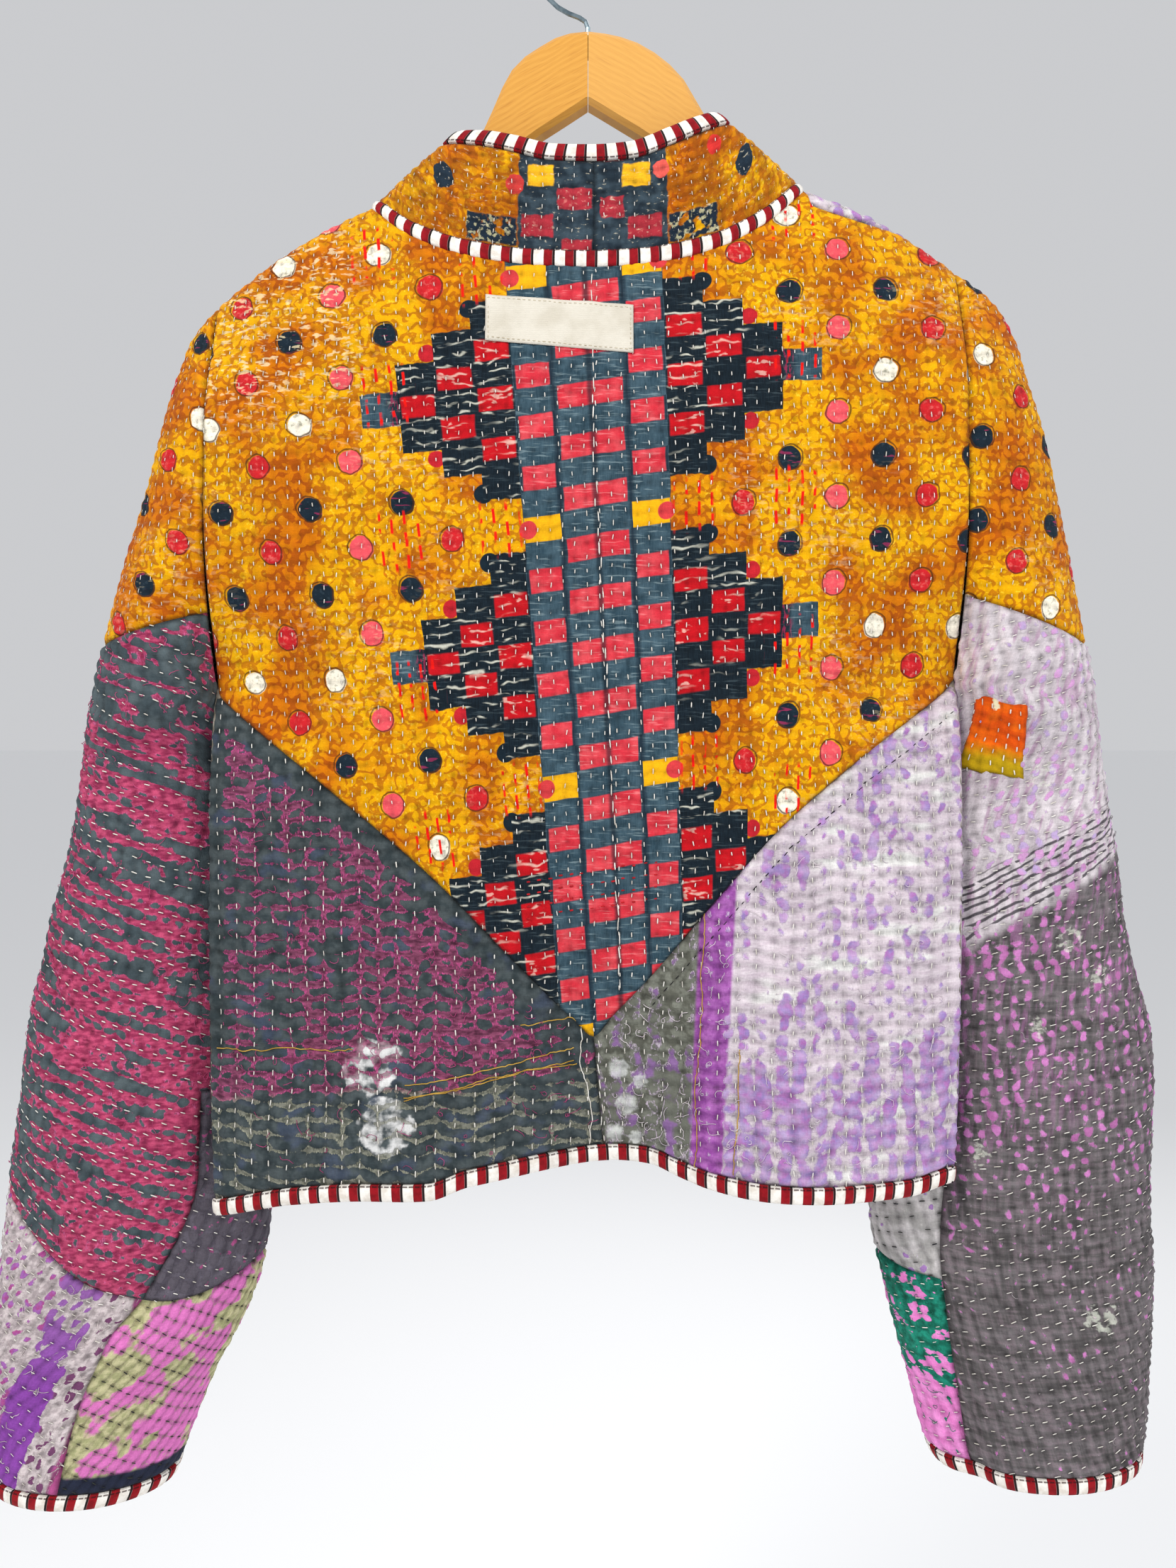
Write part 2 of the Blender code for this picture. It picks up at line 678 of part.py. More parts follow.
def garment_surface():
    """All the panels as one welded sheet, so that both sides of a seam share its places."""
    bm = bmesh.new()
    layer = bm.faces.layers.int.new("piece")
    bm.verts.layers.int.new("flat")
    centre = BACK_COLUMNS.index(CENTRE_SEAM)
    sheets = {
        "back_upper": back_upper_rows(), "back_lower": back_lower_rows(),
        "front_left": front_rows(LEFT), "front_right": front_rows(RIGHT),
        "sleeve_left": sleeve_rows(LEFT), "sleeve_right": sleeve_rows(RIGHT),
        "collar": collar_rows(),
    }
    add_sheet(bm, layer, sheets["back_upper"], back_upper_piece, True, 2)
    add_sheet(bm, layer, sheets["back_lower"],
              lambda r, c: "back_lower_left" if c < centre else "back_lower_right", True)
    add_sheet(bm, layer, sheets["front_left"], lambda r, c: "front_left", True, 2)
    add_sheet(bm, layer, sheets["front_right"], lambda r, c: "front_right", False, 2)
    add_sheet(bm, layer, sheets["sleeve_left"], lambda r, c: sleeve_piece(LEFT, r, c), False)
    add_sheet(bm, layer, sheets["sleeve_right"], lambda r, c: sleeve_piece(RIGHT, r, c), True)
    middle = collar_columns().index((CENTRE_SEAM, False))
    add_sheet(bm, layer, sheets["collar"],
              lambda r, c: "collar_left" if c < middle else "collar_right", False, 2)
    bmesh.ops.remove_doubles(bm, verts=bm.verts, dist=WELD * MM)
    bm.normal_update()
    bm.verts.index_update()
    return bm, layer, sheets


def wall_normals(bm, layer, piece):
    """Each place's outward way: shared over a smooth seam, the piece's own in a deep groove."""
    own = GROUP[piece]
    normals = {}
    for vert in bm.verts:
        ours, others = Vector(), Vector()
        for loop in vert.link_loops:
            part = loop.face.normal * loop.calc_angle()
            if GROUP[PANELS[loop.face[layer]]] == own:
                ours += part
            else:
                others += part
        if not ours.length:
            continue
        ours.normalize()
        if others.length:
            others.normalize()
            ours += others * ease((ours.dot(others) - GROOVE_OWN) / (GROOVE_SHARED - GROOVE_OWN))
        normals[vert] = ours.normalized()
    return normals


def seam_insets(faces):
    """For each place on a piece's edge, the step that moves it in from both its edges by one."""
    inside = set(faces)
    steps = {}
    rim = []
    for face in faces:
        for loop in face.loops:
            if sum(1 for other in loop.edge.link_faces if other in inside) != 1:
                continue
            start, end = loop.vert, loop.link_loop_next.vert
            inward = face.normal.cross(end.co - start.co).normalized()
            rim.append((start, end))
            steps.setdefault(start, []).append(inward)
            steps.setdefault(end, []).append(inward)
    insets = {}
    for vert, ways in steps.items():
        total = sum(ways, Vector())
        fold = 1 + ways[0].dot(ways[-1])
        insets[vert] = total / max(fold, BLUNTEST_CORNER) if len(ways) == 2 else total.normalized()
    return insets, rim


def quilt_height(vert, flat, insets):
    """Every second row of a panel's inner places stands a little proud."""
    if vert in insets or vert[flat]:
        return 0.0
    return QUILT_RISE if round(vert.co.z / MM / QUILT_ROW) % 2 else 0.0


def new_material(name):
    material = bpy.data.materials.get(name)
    if material is None:
        material = bpy.data.materials.new(name)
        material.use_nodes = True
        shader = material.node_tree.nodes["Principled BSDF"]
        shader.inputs["Base Color"].default_value = (*COLOURS[name], 1)
        shader.inputs["Roughness"].default_value = 0.35 if name in ("wood", "steel") else 0.85
        shader.inputs["Metallic"].default_value = 1.0 if name == "steel" else 0.0
    return material


def add_object(name, mesh, colour, collection):
    mesh.materials.append(new_material(colour))
    thing = bpy.data.objects.new(name, mesh)
    collection.objects.link(thing)
    return thing


def mesh_from(name, bm):
    bmesh.ops.triangulate(bm, faces=bm.faces)
    mesh = bpy.data.meshes.new(name)
    bm.to_mesh(mesh)
    bm.free()
    return mesh


def panel_wall(bm, layer, piece):
    """The wall of one panel: quilted outside, plain inside, parted from its neighbours."""
    faces = [f for f in bm.faces if f[layer] == PANELS.index(piece)]
    insets, rim = seam_insets(faces)
    flat = bm.verts.layers.int["flat"]
    normals = wall_normals(bm, layer, piece)
    wall = bmesh.new()
    outer, inner = {}, {}
    for vert in sorted({v for f in faces for v in f.verts}, key=lambda v: v.index):
        base = vert.co + insets.get(vert, Vector()) * SEAM_GAP / 2 * MM
        outer[vert] = wall.verts.new(base + normals[vert] * quilt_height(vert, flat, insets) * MM)
        inner[vert] = wall.verts.new(base - normals[vert] * WALL * MM)
    for face in faces:
        wall.faces.new([outer[v] for v in face.verts])
        wall.faces.new([inner[v] for v in reversed(face.verts)])
    for start, end in rim:
        wall.faces.new([outer[end], outer[start], inner[start], inner[end]])
    return mesh_from(piece, wall)


def nearest_normals(bm):
    """A lookup of the welded surface's normal at any place on its grid."""
    bm.verts.ensure_lookup_table()
    tree = KDTree(len(bm.verts))
    for vert in bm.verts:
        tree.insert(vert.co, vert.index)
    tree.balance()
    return lambda place: bm.verts[tree.find(place)[1]].normal.copy()


def loft(name, rings, closed=False):
    """A solid through rings of places, with flat ends unless the rings close on themselves."""
    bm = bmesh.new()
    rows = [[bm.verts.new(place) for place in ring] for ring in rings]
    count = len(rows[0])
    pairs = list(zip(rows, rows[1:]))
    if closed:
        pairs.append((rows[-1], rows[0]))
    for a, b in pairs:
        for k in range(count):
            n = (k + 1) % count
            bm.faces.new([a[k], a[n], b[n], b[k]])
    if not closed:
        bm.faces.new(list(reversed(rows[0])))
        bm.faces.new(rows[-1])
    bmesh.ops.recalc_face_normals(bm, faces=bm.faces)
    return mesh_from(name, bm)


def edge_binding(name, edge, before, normal_at, closed=False, lengthen=(0.0, 0.0)):
    """The strip folded over an edge: edge is the panel's last row and before the row ahead."""
    outline = [
        (SEAM_GAP / 2, BINDING_RISE), (BINDING_WIDTH - BINDING_ROUND, BINDING_RISE),
        (BINDING_WIDTH, BINDING_RISE - BINDING_ROUND),
        (BINDING_WIDTH, BINDING_ROUND - BINDING_RISE - WALL),
        (BINDING_WIDTH - BINDING_ROUND, -WALL - BINDING_RISE), (SEAM_GAP / 2, -WALL - BINDING_RISE),
    ]
    rings = []
    for place, back in zip(edge, before):
        normal = normal_at(place)
        out = place - back
        out = (out - normal * out.dot(normal)).normalized()
        rings.append([place + (out * s + normal * h) * MM for s, h in outline])
    for at, neighbour, extra in ((0, 1, lengthen[0]), (-1, -2, lengthen[1])):
        if extra:
            way = (edge[at] - edge[neighbour]).normalized() * extra * MM
            rings[at] = [corner + way for corner in rings[at]]
    return loft(name, rings, closed)


def layer_on(name, rows, normal_at, lift, end_lift, thick):
    """A flat piece that lies on the cloth, made of the cloth's own places, moved out."""
    rings = []
    last = len(rows[0]) - 1
    for k, line in enumerate(zip(*rows)):
        rise = end_lift if k in (0, last) else lift
        low = [p + normal_at(p) * rise * MM for p in line]
        high = [p + normal_at(p) * (rise + t) * MM for p, t in zip(line, thick)]
        rings.append(low + high[::-1])
    return loft(name, rings)


def applied_piece(name, corners, point_at, panel, columns, rows):
    """A four-cornered piece laid on the outside of a panel, from the panel's own faces."""
    tree = BVHTree.FromPolygons([v.co for v in panel.vertices], [p.vertices for p in panel.polygons])
    a, b, c, d = corners
    bm = bmesh.new()
    low, high = [], []
    for i in range(rows + 1):
        low.append([])
        high.append([])
        for k in range(columns + 1):
            s, t = k / columns, i / rows
            across = mix(mix(a[0], b[0], s), mix(d[0], c[0], s), t)
            down = mix(mix(a[1], b[1], s), mix(d[1], c[1], s), t)
            place = point_at(across, down)
            right = point_at(across + (b[0] - a[0]) * NUDGE_SHARE, down) - place
            below = point_at(across, down + NUDGE_DOWN) - place
            way = below.cross(right).normalized()
            reach = APPLIED_REACH * MM
            hit = tree.ray_cast(place + way * reach, -way, 2 * reach)[0]
            low[-1].append(bm.verts.new(hit + way * APPLIED_LIFT * MM))
            high[-1].append(bm.verts.new(hit + way * (APPLIED_LIFT + APPLIED_THICK) * MM))
    for r in range(rows):
        for c in range(columns):
            bm.faces.new([high[r][c], high[r + 1][c], high[r + 1][c + 1], high[r][c + 1]])
            bm.faces.new([low[r][c + 1], low[r + 1][c + 1], low[r + 1][c], low[r][c]])
    border = [(0, c) for c in range(columns)] + [(r, columns) for r in range(rows)]
    border += [(rows, c) for c in range(columns, 0, -1)] + [(r, 0) for r in range(rows, 0, -1)]
    for (r0, c0), (r1, c1) in zip(border, border[1:] + border[:1]):
        bm.faces.new([high[r0][c0], high[r1][c1], low[r1][c1], low[r0][c0]])
    bmesh.ops.recalc_face_normals(bm, faces=bm.faces)
    return mesh_from(name, bm)


def add_bindings(sheets, normal_at, collection):
    collar = sheets["collar"]
    backs = [c for c, (x, front) in enumerate(collar_columns()) if not front]
    first = BACK_COLUMNS.index(-NECK_HALF)
    below = [sheets["back_upper"][1][first + k] for k in range(len(backs))]
    rows = [[collar[1][c] for c in backs], [collar[0][c] for c in backs], below]
    for row in rows:
        row[0] = row[1].lerp(row[0], NECK_END)
        row[-1] = row[-2].lerp(row[-1], NECK_END)
    add_object("binding_neck", layer_on("binding_neck", rows, normal_at, NECK_LIFT, NECK_END_LIFT,
                                        NECK_THICK), "binding", collection)
    add_object("binding_collar", edge_binding("binding_collar", collar[-1], collar[-2], normal_at),
               "binding", collection)
    for side, name, end in ((LEFT, "left", 0), (RIGHT, "right", -1)):
        sheet = sheets["front_" + name]
        column = [line[end] for line in reversed(collar)] + [line[0] for line in sheet[1:]]
        inner = [line[1 if end == 0 else -2] for line in reversed(collar)]
        inner += [line[1] for line in sheet[1:]]
        add_object("binding_front_" + name,
                   edge_binding("binding_front_" + name, column, inner, normal_at,
                                lengthen=(BINDING_WIDTH, BINDING_WIDTH)),
                   "binding", collection)
        add_object("binding_hem_front_" + name,
                   edge_binding("binding_hem_front_" + name, sheet[-1], sheet[-2], normal_at,
                                lengthen=(-SEAM_GAP, -SEAM_GAP)),
                   "binding", collection)
        tube = sheets["sleeve_" + name]
        add_object("binding_cuff_" + name,
                   edge_binding("binding_cuff_" + name, tube[-1][:-1], tube[-2][:-1], normal_at,
                                closed=True),
                   "binding", collection)
    lower = sheets["back_lower"]
    add_object("binding_hem_back",
               edge_binding("binding_hem_back", lower[-1], lower[-2], normal_at,
                            lengthen=(-SEAM_GAP, -SEAM_GAP)),
               "binding", collection)


def add_applied(panels, collection):
    label = applied_piece("label", LABEL_CORNERS, body_point, panels["back_upper"], 6, 3)
    add_object("label", label, "cream", collection)

    def right_sleeve(share, drop):
        start, end = SLEEVE_ROWS[RIGHT][0], SLEEVE_ROWS[RIGHT][1]
        t = (drop - start.drop) / (end.drop - start.drop)
        return sleeve_point(RIGHT, share, ARM_ROWS + 1, drop, mix(start.tilt, end.tilt, t), 0.0)

    patch = applied_piece("patch_orange", PATCH_CORNERS, right_sleeve,
                          panels["sleeve_right_main"], 6, 5)
    add_object("patch_orange", patch, "orange", collection)


def wood_arm(side, name, collection, cutters):
    """Half of the wood: a flat outline with rounded edges, mitred at the middle."""
    stations = [(h.x, h.top, h.bottom) for h in HUMP[side]]
    for arm in ARM:
        top = crest_drop(side * arm.x) + arm.below
        stations.append((arm.x, top, top + arm.depth))
    outline = [(side * x, -top) for x, top, bottom in stations]
    outline += [(side * x, -bottom) for x, top, bottom in reversed(stations)]
    curve = bpy.data.curves.new(name, "CURVE")
    curve.dimensions = "2D"
    curve.fill_mode = "BOTH"
    curve.extrude = (WOOD_THICK / 2 - WOOD_ROUND) * MM
    curve.bevel_depth = WOOD_ROUND * MM
    curve.bevel_resolution = 0
    curve.offset = -WOOD_ROUND * MM
    spline = curve.splines.new("POLY")
    spline.points.add(len(outline) + 1)
    past = WOOD_ROUND * 2
    outline = [(-side * past, -stations[0][1])] + outline + [(-side * past, -stations[0][2])]
    for point, (x, z) in zip(spline.points, outline):
        point.co = (x * MM, z * MM, 0, 1)
    spline.use_cyclic_u = True
    guide = bpy.data.objects.new(name + "_guide", curve)
    collection.objects.link(guide)
    turn = Matrix.Rotation(side * HANGER_BOW, 4, "Z") @ Matrix.Rotation(math.pi / 2, 4, "X")
    guide.matrix_world = Matrix.Translation((0, HANGER_Y * MM, 0)) @ turn
    bpy.context.view_layer.update()
    mesh = bpy.data.meshes.new_from_object(guide.evaluated_get(bpy.context.evaluated_depsgraph_get()))
    mesh.transform(guide.matrix_world)
    bm = bmesh.new()
    bm.from_mesh(mesh)
    bmesh.ops.remove_doubles(bm, verts=bm.verts, dist=WELD / 2 * MM)
    cut = bmesh.ops.bisect_plane(bm, geom=bm.verts[:] + bm.edges[:] + bm.faces[:], dist=0.000001,
                                 plane_co=(side * SEAM_GAP / 2 * MM, 0, 0), plane_no=(-side, 0, 0),
                                 clear_outer=True)
    rim = [e for e in cut["geom_cut"] if isinstance(e, bmesh.types.BMEdge)]
    bmesh.ops.contextual_create(bm, geom=rim)
    bmesh.ops.recalc_face_normals(bm, faces=bm.faces)
    bm.to_mesh(mesh)
    bm.free()
    mesh.name = name
    bpy.data.objects.remove(guide)
    arm = add_object(name, mesh, "wood", collection)
    bore = arm.modifiers.new("stem hole", "BOOLEAN")
    bore.object = cutters["stem"]
    bore.solver = "EXACT"
    return arm


def stem_cutter(collection):
    bpy.ops.mesh.primitive_cylinder_add(
        vertices=16, radius=(WIRE_RADIUS + SEAM_GAP) * MM, depth=2 * (STEM_DEPTH + SEAM_GAP) * MM,
        location=(0, HANGER_Y * MM, -WOOD_TOP * MM))
    cutter = bpy.context.object
    cutter.name = "stem_cutter"
    for owner in cutter.users_collection:
        owner.objects.unlink(cutter)
    collection.objects.link(cutter)
    cutter.hide_render = True
    cutter.display_type = "WIRE"
    return cutter


def hook(collection):
    """The wire: a stem, a bend to the left and a round hook that is open to the right."""
    path = [(0, -WOOD_TOP - STEM_DEPTH), (0, -WOOD_TOP - 4), (0, -WOOD_TOP + 4), (-1.2, -55),
            (-4.4, -52.9)]
    for degrees in range(248, -36, -14):
        angle = math.radians(degrees)
        path.append((HOOK_RADIUS * math.cos(angle), -HOOK_DROP + HOOK_RADIUS * math.sin(angle)))
    curve = bpy.data.curves.new("hanger_hook", "CURVE")
    curve.dimensions = "3D"
    curve.bevel_depth = WIRE_RADIUS * MM
    curve.bevel_resolution = 2
    curve.use_fill_caps = True
    spline = curve.splines.new("POLY")
    spline.points.add(len(path) - 1)
    for point, (x, z) in zip(spline.points, path):
        point.co = (x * MM, HANGER_Y * MM, z * MM, 1)
    curve.materials.append(new_material("steel"))
    thing = bpy.data.objects.new("hanger_hook", curve)
    collection.objects.link(thing)
    return thing


def clear_scene():
    for thing in list(bpy.data.objects):
        bpy.data.objects.remove(thing)


def main():
    clear_scene()
    collection = bpy.data.collections.new("kantha_jacket_on_hanger")
    bpy.context.scene.collection.children.link(collection)
    cutter_collection = bpy.data.collections.new("cutters")
    bpy.context.scene.collection.children.link(cutter_collection)
    bm, layer, sheets = garment_surface()
    panels = {}
    for piece in PANELS:
        panels[piece] = panel_wall(bm, layer, piece)
        add_object(piece, panels[piece], PIECE_COLOUR[piece], collection)
    add_bindings(sheets, nearest_normals(bm), collection)
    add_applied(panels, collection)
    bm.free()
    cutters = {"stem": stem_cutter(cutter_collection)}
    wood_arm(LEFT, "hanger_arm_left", collection, cutters)
    wood_arm(RIGHT, "hanger_arm_right", collection, cutters)
    hook(collection)


main()
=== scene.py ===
"""The looks of the quilted kantha jacket and its wooden hanger, dressed over their solids.

Metres, +Z up. The origin is the point of the hook that rests on a rail, the back faces -Y
and the left side, seen from behind, is -X. Tables and surfaces are in millimetres, and
"drop" is a distance below the origin. Each panel repeats its solid's own surface on a fine
grid, which carries the puckers between the stitches, the creases and the sewing.
"""

import math
from collections import namedtuple

import bpy
import numpy as np
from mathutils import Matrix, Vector, kdtree


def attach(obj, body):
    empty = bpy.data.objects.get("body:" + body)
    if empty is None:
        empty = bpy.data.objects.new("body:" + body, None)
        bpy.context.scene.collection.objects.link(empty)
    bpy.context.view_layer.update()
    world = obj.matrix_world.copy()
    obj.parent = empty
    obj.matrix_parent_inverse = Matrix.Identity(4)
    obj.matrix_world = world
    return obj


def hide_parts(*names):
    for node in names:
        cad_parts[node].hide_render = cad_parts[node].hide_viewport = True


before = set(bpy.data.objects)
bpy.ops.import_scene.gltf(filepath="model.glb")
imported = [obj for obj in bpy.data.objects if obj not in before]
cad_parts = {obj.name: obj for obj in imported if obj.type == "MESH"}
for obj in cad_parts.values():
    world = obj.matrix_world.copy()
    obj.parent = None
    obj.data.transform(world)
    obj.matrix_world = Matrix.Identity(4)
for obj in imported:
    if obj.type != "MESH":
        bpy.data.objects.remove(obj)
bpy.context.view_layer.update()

MM = 0.001
LEFT, RIGHT = -1, 1
NAMES = {LEFT: "left", RIGHT: "right"}

# Cloth
WALL = 2.4
BINDING_WIDTH = 9.0
INNER_STEP = 3
SEAM_DIP = 0.9
SEAM_DIP_WIDTH = 2.6

# How the wood hangs and what lies over it, as in the solids
HANGER_TILT = math.radians(2.5)
HANGER_BOW = math.radians(3.0)
HANGER_Y = 0.5
CREST_ROUND = 12.0
CREST_HALF_DEPTH = 15.0
ARMHOLE_HALF_DEPTH = 32.0
ARMHOLE_OPENS_OVER = 70.0
UNDERARM_CLOSES_OVER = 105.0
RIDGE_FADES_OVER = 60.0
NECK_HALF = 115.0
FRONT_EDGE = 24.0
CENTRE_SEAM = 3.0
CENTRE_SEAM_LEAN = 5.0
BACK_SQUARE, BACK_FULL = 2.4, 0.85
VALLEY_X = 15.0
VALLEY_HALF_WIDTH = 58.0
BACK_EDGE = {LEFT: -198.0, RIGHT: 196.0}
OVERLAP_END = 172.0
SLEEVE_LEAVES_OVER = 30.0
HEM_JOINS_OVER = 25.0


class Curve:
    """A curve through stations that never overshoots them."""

    def __init__(self, stations, values):
        self.x = np.array(stations, float)
        self.y = np.array(values, float)
        step = np.diff(self.x)
        rise = np.diff(self.y) / step
        slope = np.empty_like(self.y)
        slope[0], slope[-1] = rise[0], rise[-1]
        before, after = step[:-1], step[1:]
        turns = rise[:-1] * rise[1:] <= 0
        safe = np.where(turns, 1.0, rise[:-1]), np.where(turns, 1.0, rise[1:])
        middle = 3 * (before + after) / ((2 * after + before) / safe[0] + (after + 2 * before) / safe[1])
        slope[1:-1] = np.where(turns, 0.0, middle)
        self.slope = slope

    def __call__(self, at):
        at = np.clip(at, self.x[0], self.x[-1])
        i = np.clip(np.searchsorted(self.x, at, side="right") - 1, 0, len(self.x) - 2)
        h = self.x[i + 1] - self.x[i]
        t = (at - self.x[i]) / h
        return (self.y[i] * (1 + 2 * t) * (1 - t) ** 2 + self.slope[i] * h * t * (1 - t) ** 2
                + self.y[i + 1] * t * t * (3 - 2 * t) + self.slope[i + 1] * h * t * t * (t - 1))


def curves(names, rows):
    """One curve for each named column, over the table's first column."""
    columns = list(zip(*rows))
    return {name: Curve(columns[0], column) for name, column in zip(names.split()[1:], columns[1:])}


def ease(t):
    t = np.clip(t, 0.0, 1.0)
    return t * t * (3 - 2 * t)


def quarter_round(t):
    return np.sqrt(1 - (1 - np.clip(t, 0.0, 1.0)) ** 2)


def mix(a, b, t):
    return a + (b - a) * t


# The shoulder's crest over the wood, level hanger
CREST = curves("x drop", [
    (0, 84), (60, 116), (115, 146), (140, 157), (163, 169.5), (182, 181.5), (199, 192.5), (215, 203)])

# How far the panels stand behind and before the wood at the middle of the back
BODY = curves("drop back front side valley", [
    (140, 14, 14, 0, 0), (165, 22, 20, 0, 0), (188, 29, 24, 0, 0), (220, 35, 28, 0, 0),
    (260, 41, 31, -1, 0), (300, 46, 33, -3, 0), (350, 50, 34, -7, 0), (403, 54, 34, -13, 0),
    (416, 55, 34, -21, 0), (440, 57, 33, -28, 0), (500, 60, 32, -34, 3), (550, 62, 31, -37, 10),
    (600, 66, 30, -39, 20), (650, 74, 29, -42, 33), (690, 78, 28, -44, 38)])
HALF_WIDTH = curves("drop left right", [
    (400, 198, 196), (460, 198, 196), (605, 198, 194.5), (690, 195, 190)])

# Outlines of the back: the neck's seam, the seam of the pointed yoke and the hem's edge
BACK_NECK = curves("x drop", [
    (-115, 151.0), (-92, 170), (-62, 182), (-29, 187), (0, 188), (26, 186.6), (62, 179.4),
    (92, 163), (115, 141.0)])
YOKE = curves("x drop", [
    (-198, 409), (-134, 457), (-79, 502), (-36.5, 546), (-7, 577), (3, 586), (12, 576),
    (32, 554), (59.5, 520), (98, 477), (137.5, 444), (196, 403)])
HEM = curves("x drop", [
    (-196, 682), (-154, 670), (-116, 665), (-84, 664), (-64, 658), (-29, 655), (8, 654), (28, 655),
    (44, 660), (61, 664), (95, 667), (130, 668), (168, 668), (190, 665)])
FRONT_NECK = curves("x drop", [(24, 214), (48, 204), (72, 189), (95, 169), (115, 146)])
FRONT_HEM = {
    LEFT: curves("x drop", [(20, 672), (120, 673), (200, 682)]),
    RIGHT: curves("x drop", [(20, 672), (120, 670), (200, 665)]),
}

# The right front reaches over the crest, and its seam lies a little way down the back
RIGHT_SHOULDER = curves("x over", [(100, 13), (137, 11), (160, 5), (175, 0)])

# The collar's upper edge for each place on the neck's seam
COLLAR_BACK = curves("x top_x y drop", [
    (-115, -70, 1, 116), (-108, -67.5, -10, 116), (-86, -55, -17, 118), (-58, -37, -22.5, 123),
    (-28, -17, -25, 128.5), (3, 3, -26, 129.5), (31, 21, -25, 127.5), (59, 40, -21.5, 119),
    (86, 54, -16, 111), (108, 65.5, -10, 105.5), (115, 68, 1, 104)])
COLLAR_FRONT = curves("x top_x y drop", [
    (24, 22, 29, 156), (52, 39, 27, 140), (82, 55, 22, 124), (108, 67, 14, 112), (115, 69, 1, 110)])
COLLAR_SLOPE = {LEFT: 6, RIGHT: -6}
COLLAR_BELLY = 2.0

# Each sleeve's silhouette and depth: outer and inner edge, and how far it rounds out
TUBE_COLUMNS = "drop outer inner y_outer y_inner back front"
TUBE = {
    LEFT: curves(TUBE_COLUMNS, [
        (203, 201, 198, 9, 0, 32, 30), (220, 214.5, 198, 8, 0, 32, 30), (228, 216.5, 198, 6, 0, 32, 30),
        (248, 223, 198, 4, 0, 32, 30), (295, 234.5, 198, 1, 0, 32, 30), (340, 248.5, 198, -1, 0, 32, 30),
        (386, 261, 198, -2, 0, 32, 30), (409, 266, 198, -3, -13, 32, 30),
        (417, 268, 199.5, -3, -7, 32, 30), (430, 270, 199, -3, 2, 32, 30), (450, 273, 193, -3, 6, 33, 31),
        (477, 277.5, 186, -3, 8, 35, 32), (538, 294, 182, -3, 9, 37, 33), (594, 307, 181, -3, 9, 38, 33),
        (641, 314.5, 180, -3, 8, 38, 33), (679, 320.5, 179, -3, 6, 37, 32), (704, 324, 180, -3, 4, 36, 31),
        (729, 327, 184, -3, 2, 35, 31), (757, 331.5, 194, -3, 0, 34, 30), (790, 334, 211, -3, -1, 33, 30),
        (827, 335.5, 226, -3, -2, 33, 30), (862, 336, 239, -3, -3, 33, 30)]),
    RIGHT: curves(TUBE_COLUMNS, [
        (184, 199.5, 196, 9, 0, 32, 30), (201, 220, 196, 8, 0, 32, 30), (212, 226, 196, 6, 0, 32, 30),
        (224, 231, 196, 5, 0, 32, 30), (242, 235.5, 196, 4, 0, 32, 30), (268, 243.5, 196, 2, 0, 32, 30),
        (302, 251.5, 196, 0, 0, 32, 30), (356, 262.5, 196, -1, 0, 32, 30), (394, 269.5, 196, -2, 0, 32, 30),
        (403, 271, 196, -3, -13, 32, 30), (411, 272, 197.5, -3, -7, 32, 30), (424, 274, 197, -3, 2, 32, 30),
        (445, 277, 190, -3, 6, 33, 31), (475, 283, 180, -3, 8, 35, 32), (507, 289, 173, -3, 9, 36, 33),
        (552, 297, 166, -3, 9, 37, 33), (593, 308, 163, -3, 9, 38, 33), (623, 311, 161, -3, 8, 38, 33),
        (676, 311, 159, -3, 7, 37, 32), (701, 312, 160, -3, 5, 36, 31), (741, 314.5, 168, -3, 2, 36, 31),
        (791, 313, 181, -3, 0, 36, 31), (827, 311, 191, -3, -1, 36, 31), (850, 309, 203, -3, -2, 36, 31)]),
}

# Slant of the rows across a sleeve: "tilt" lowers the outer edge, "dip" the middle
ARM_ROWS, UPPER_ENDS, UNDER_STARTS, UNDER_ENDS = 22, 18, 36, 43
FRONT_ROWS = 36
CUFF_ROW = {LEFT: 51, RIGHT: 50}
SLEEVE_ROWS = {
    LEFT: [(ARM_ROWS, 409, 10, 0), (UNDER_STARTS, 622, -12, 4), (UNDER_ENDS, 722, -45, 32),
           (CUFF_ROW[LEFT], 841, 0, 0)],
    RIGHT: [(ARM_ROWS, 403, 12, 0), (UNDER_STARTS, 622, 0, 4), (UNDER_ENDS, 722, 8, 8),
            (CUFF_ROW[RIGHT], 830, 0, 0)],
}
ARM_TILT = {
    LEFT: curves("row tilt", [(0, 18), (3, 17), (18, 17), (22, 10)]),
    RIGHT: curves("row tilt", [(0, 17), (3, 17), (11, 20), (18, 25), (22, 12)]),
}
ROW_SHARES = ([0, 1, 2, 3, 4, ARM_ROWS], [0.0, 0.012, 0.035, 0.065, 0.1, 1.0])
SLEEVE_COLUMNS, SEAM_COLUMN, OUTER_COLUMN, HIDDEN_COLUMN = 16, 4, 8, 12
LONG_SEAM = {
    LEFT: curves("drop share", [
        (540, 0.25), (622, 0.15), (660, 0.15), (722, 0.22), (750, 0.25), (850, 0.26)]),
    RIGHT: curves("drop share", [(540, 0.25), (622, 0.16), (670, 0.146), (850, 0.106)]),
}

# Large folds of the sleeves: soft troughs along a line from one place to another
Trough = namedtuple("Trough", "side share0 drop0 share1 drop1 width depth")
TROUGHS = [
    Trough(RIGHT, 0.16, 600, 0.115, 850, 0.035, 5), Trough(LEFT, 0.11, 640, 0.23, 735, 0.04, 4),
    Trough(LEFT, 0.40, 560, 0.22, 650, 0.05, 3), Trough(RIGHT, 0.24, 452, 0.42, 520, 0.05, 2.5),
    Trough(LEFT, 0.90, 620, 0.70, 700, 0.05, 4), Trough(RIGHT, 0.90, 600, 0.72, 690, 0.05, 4),
]
TROUGH_END = 30.0


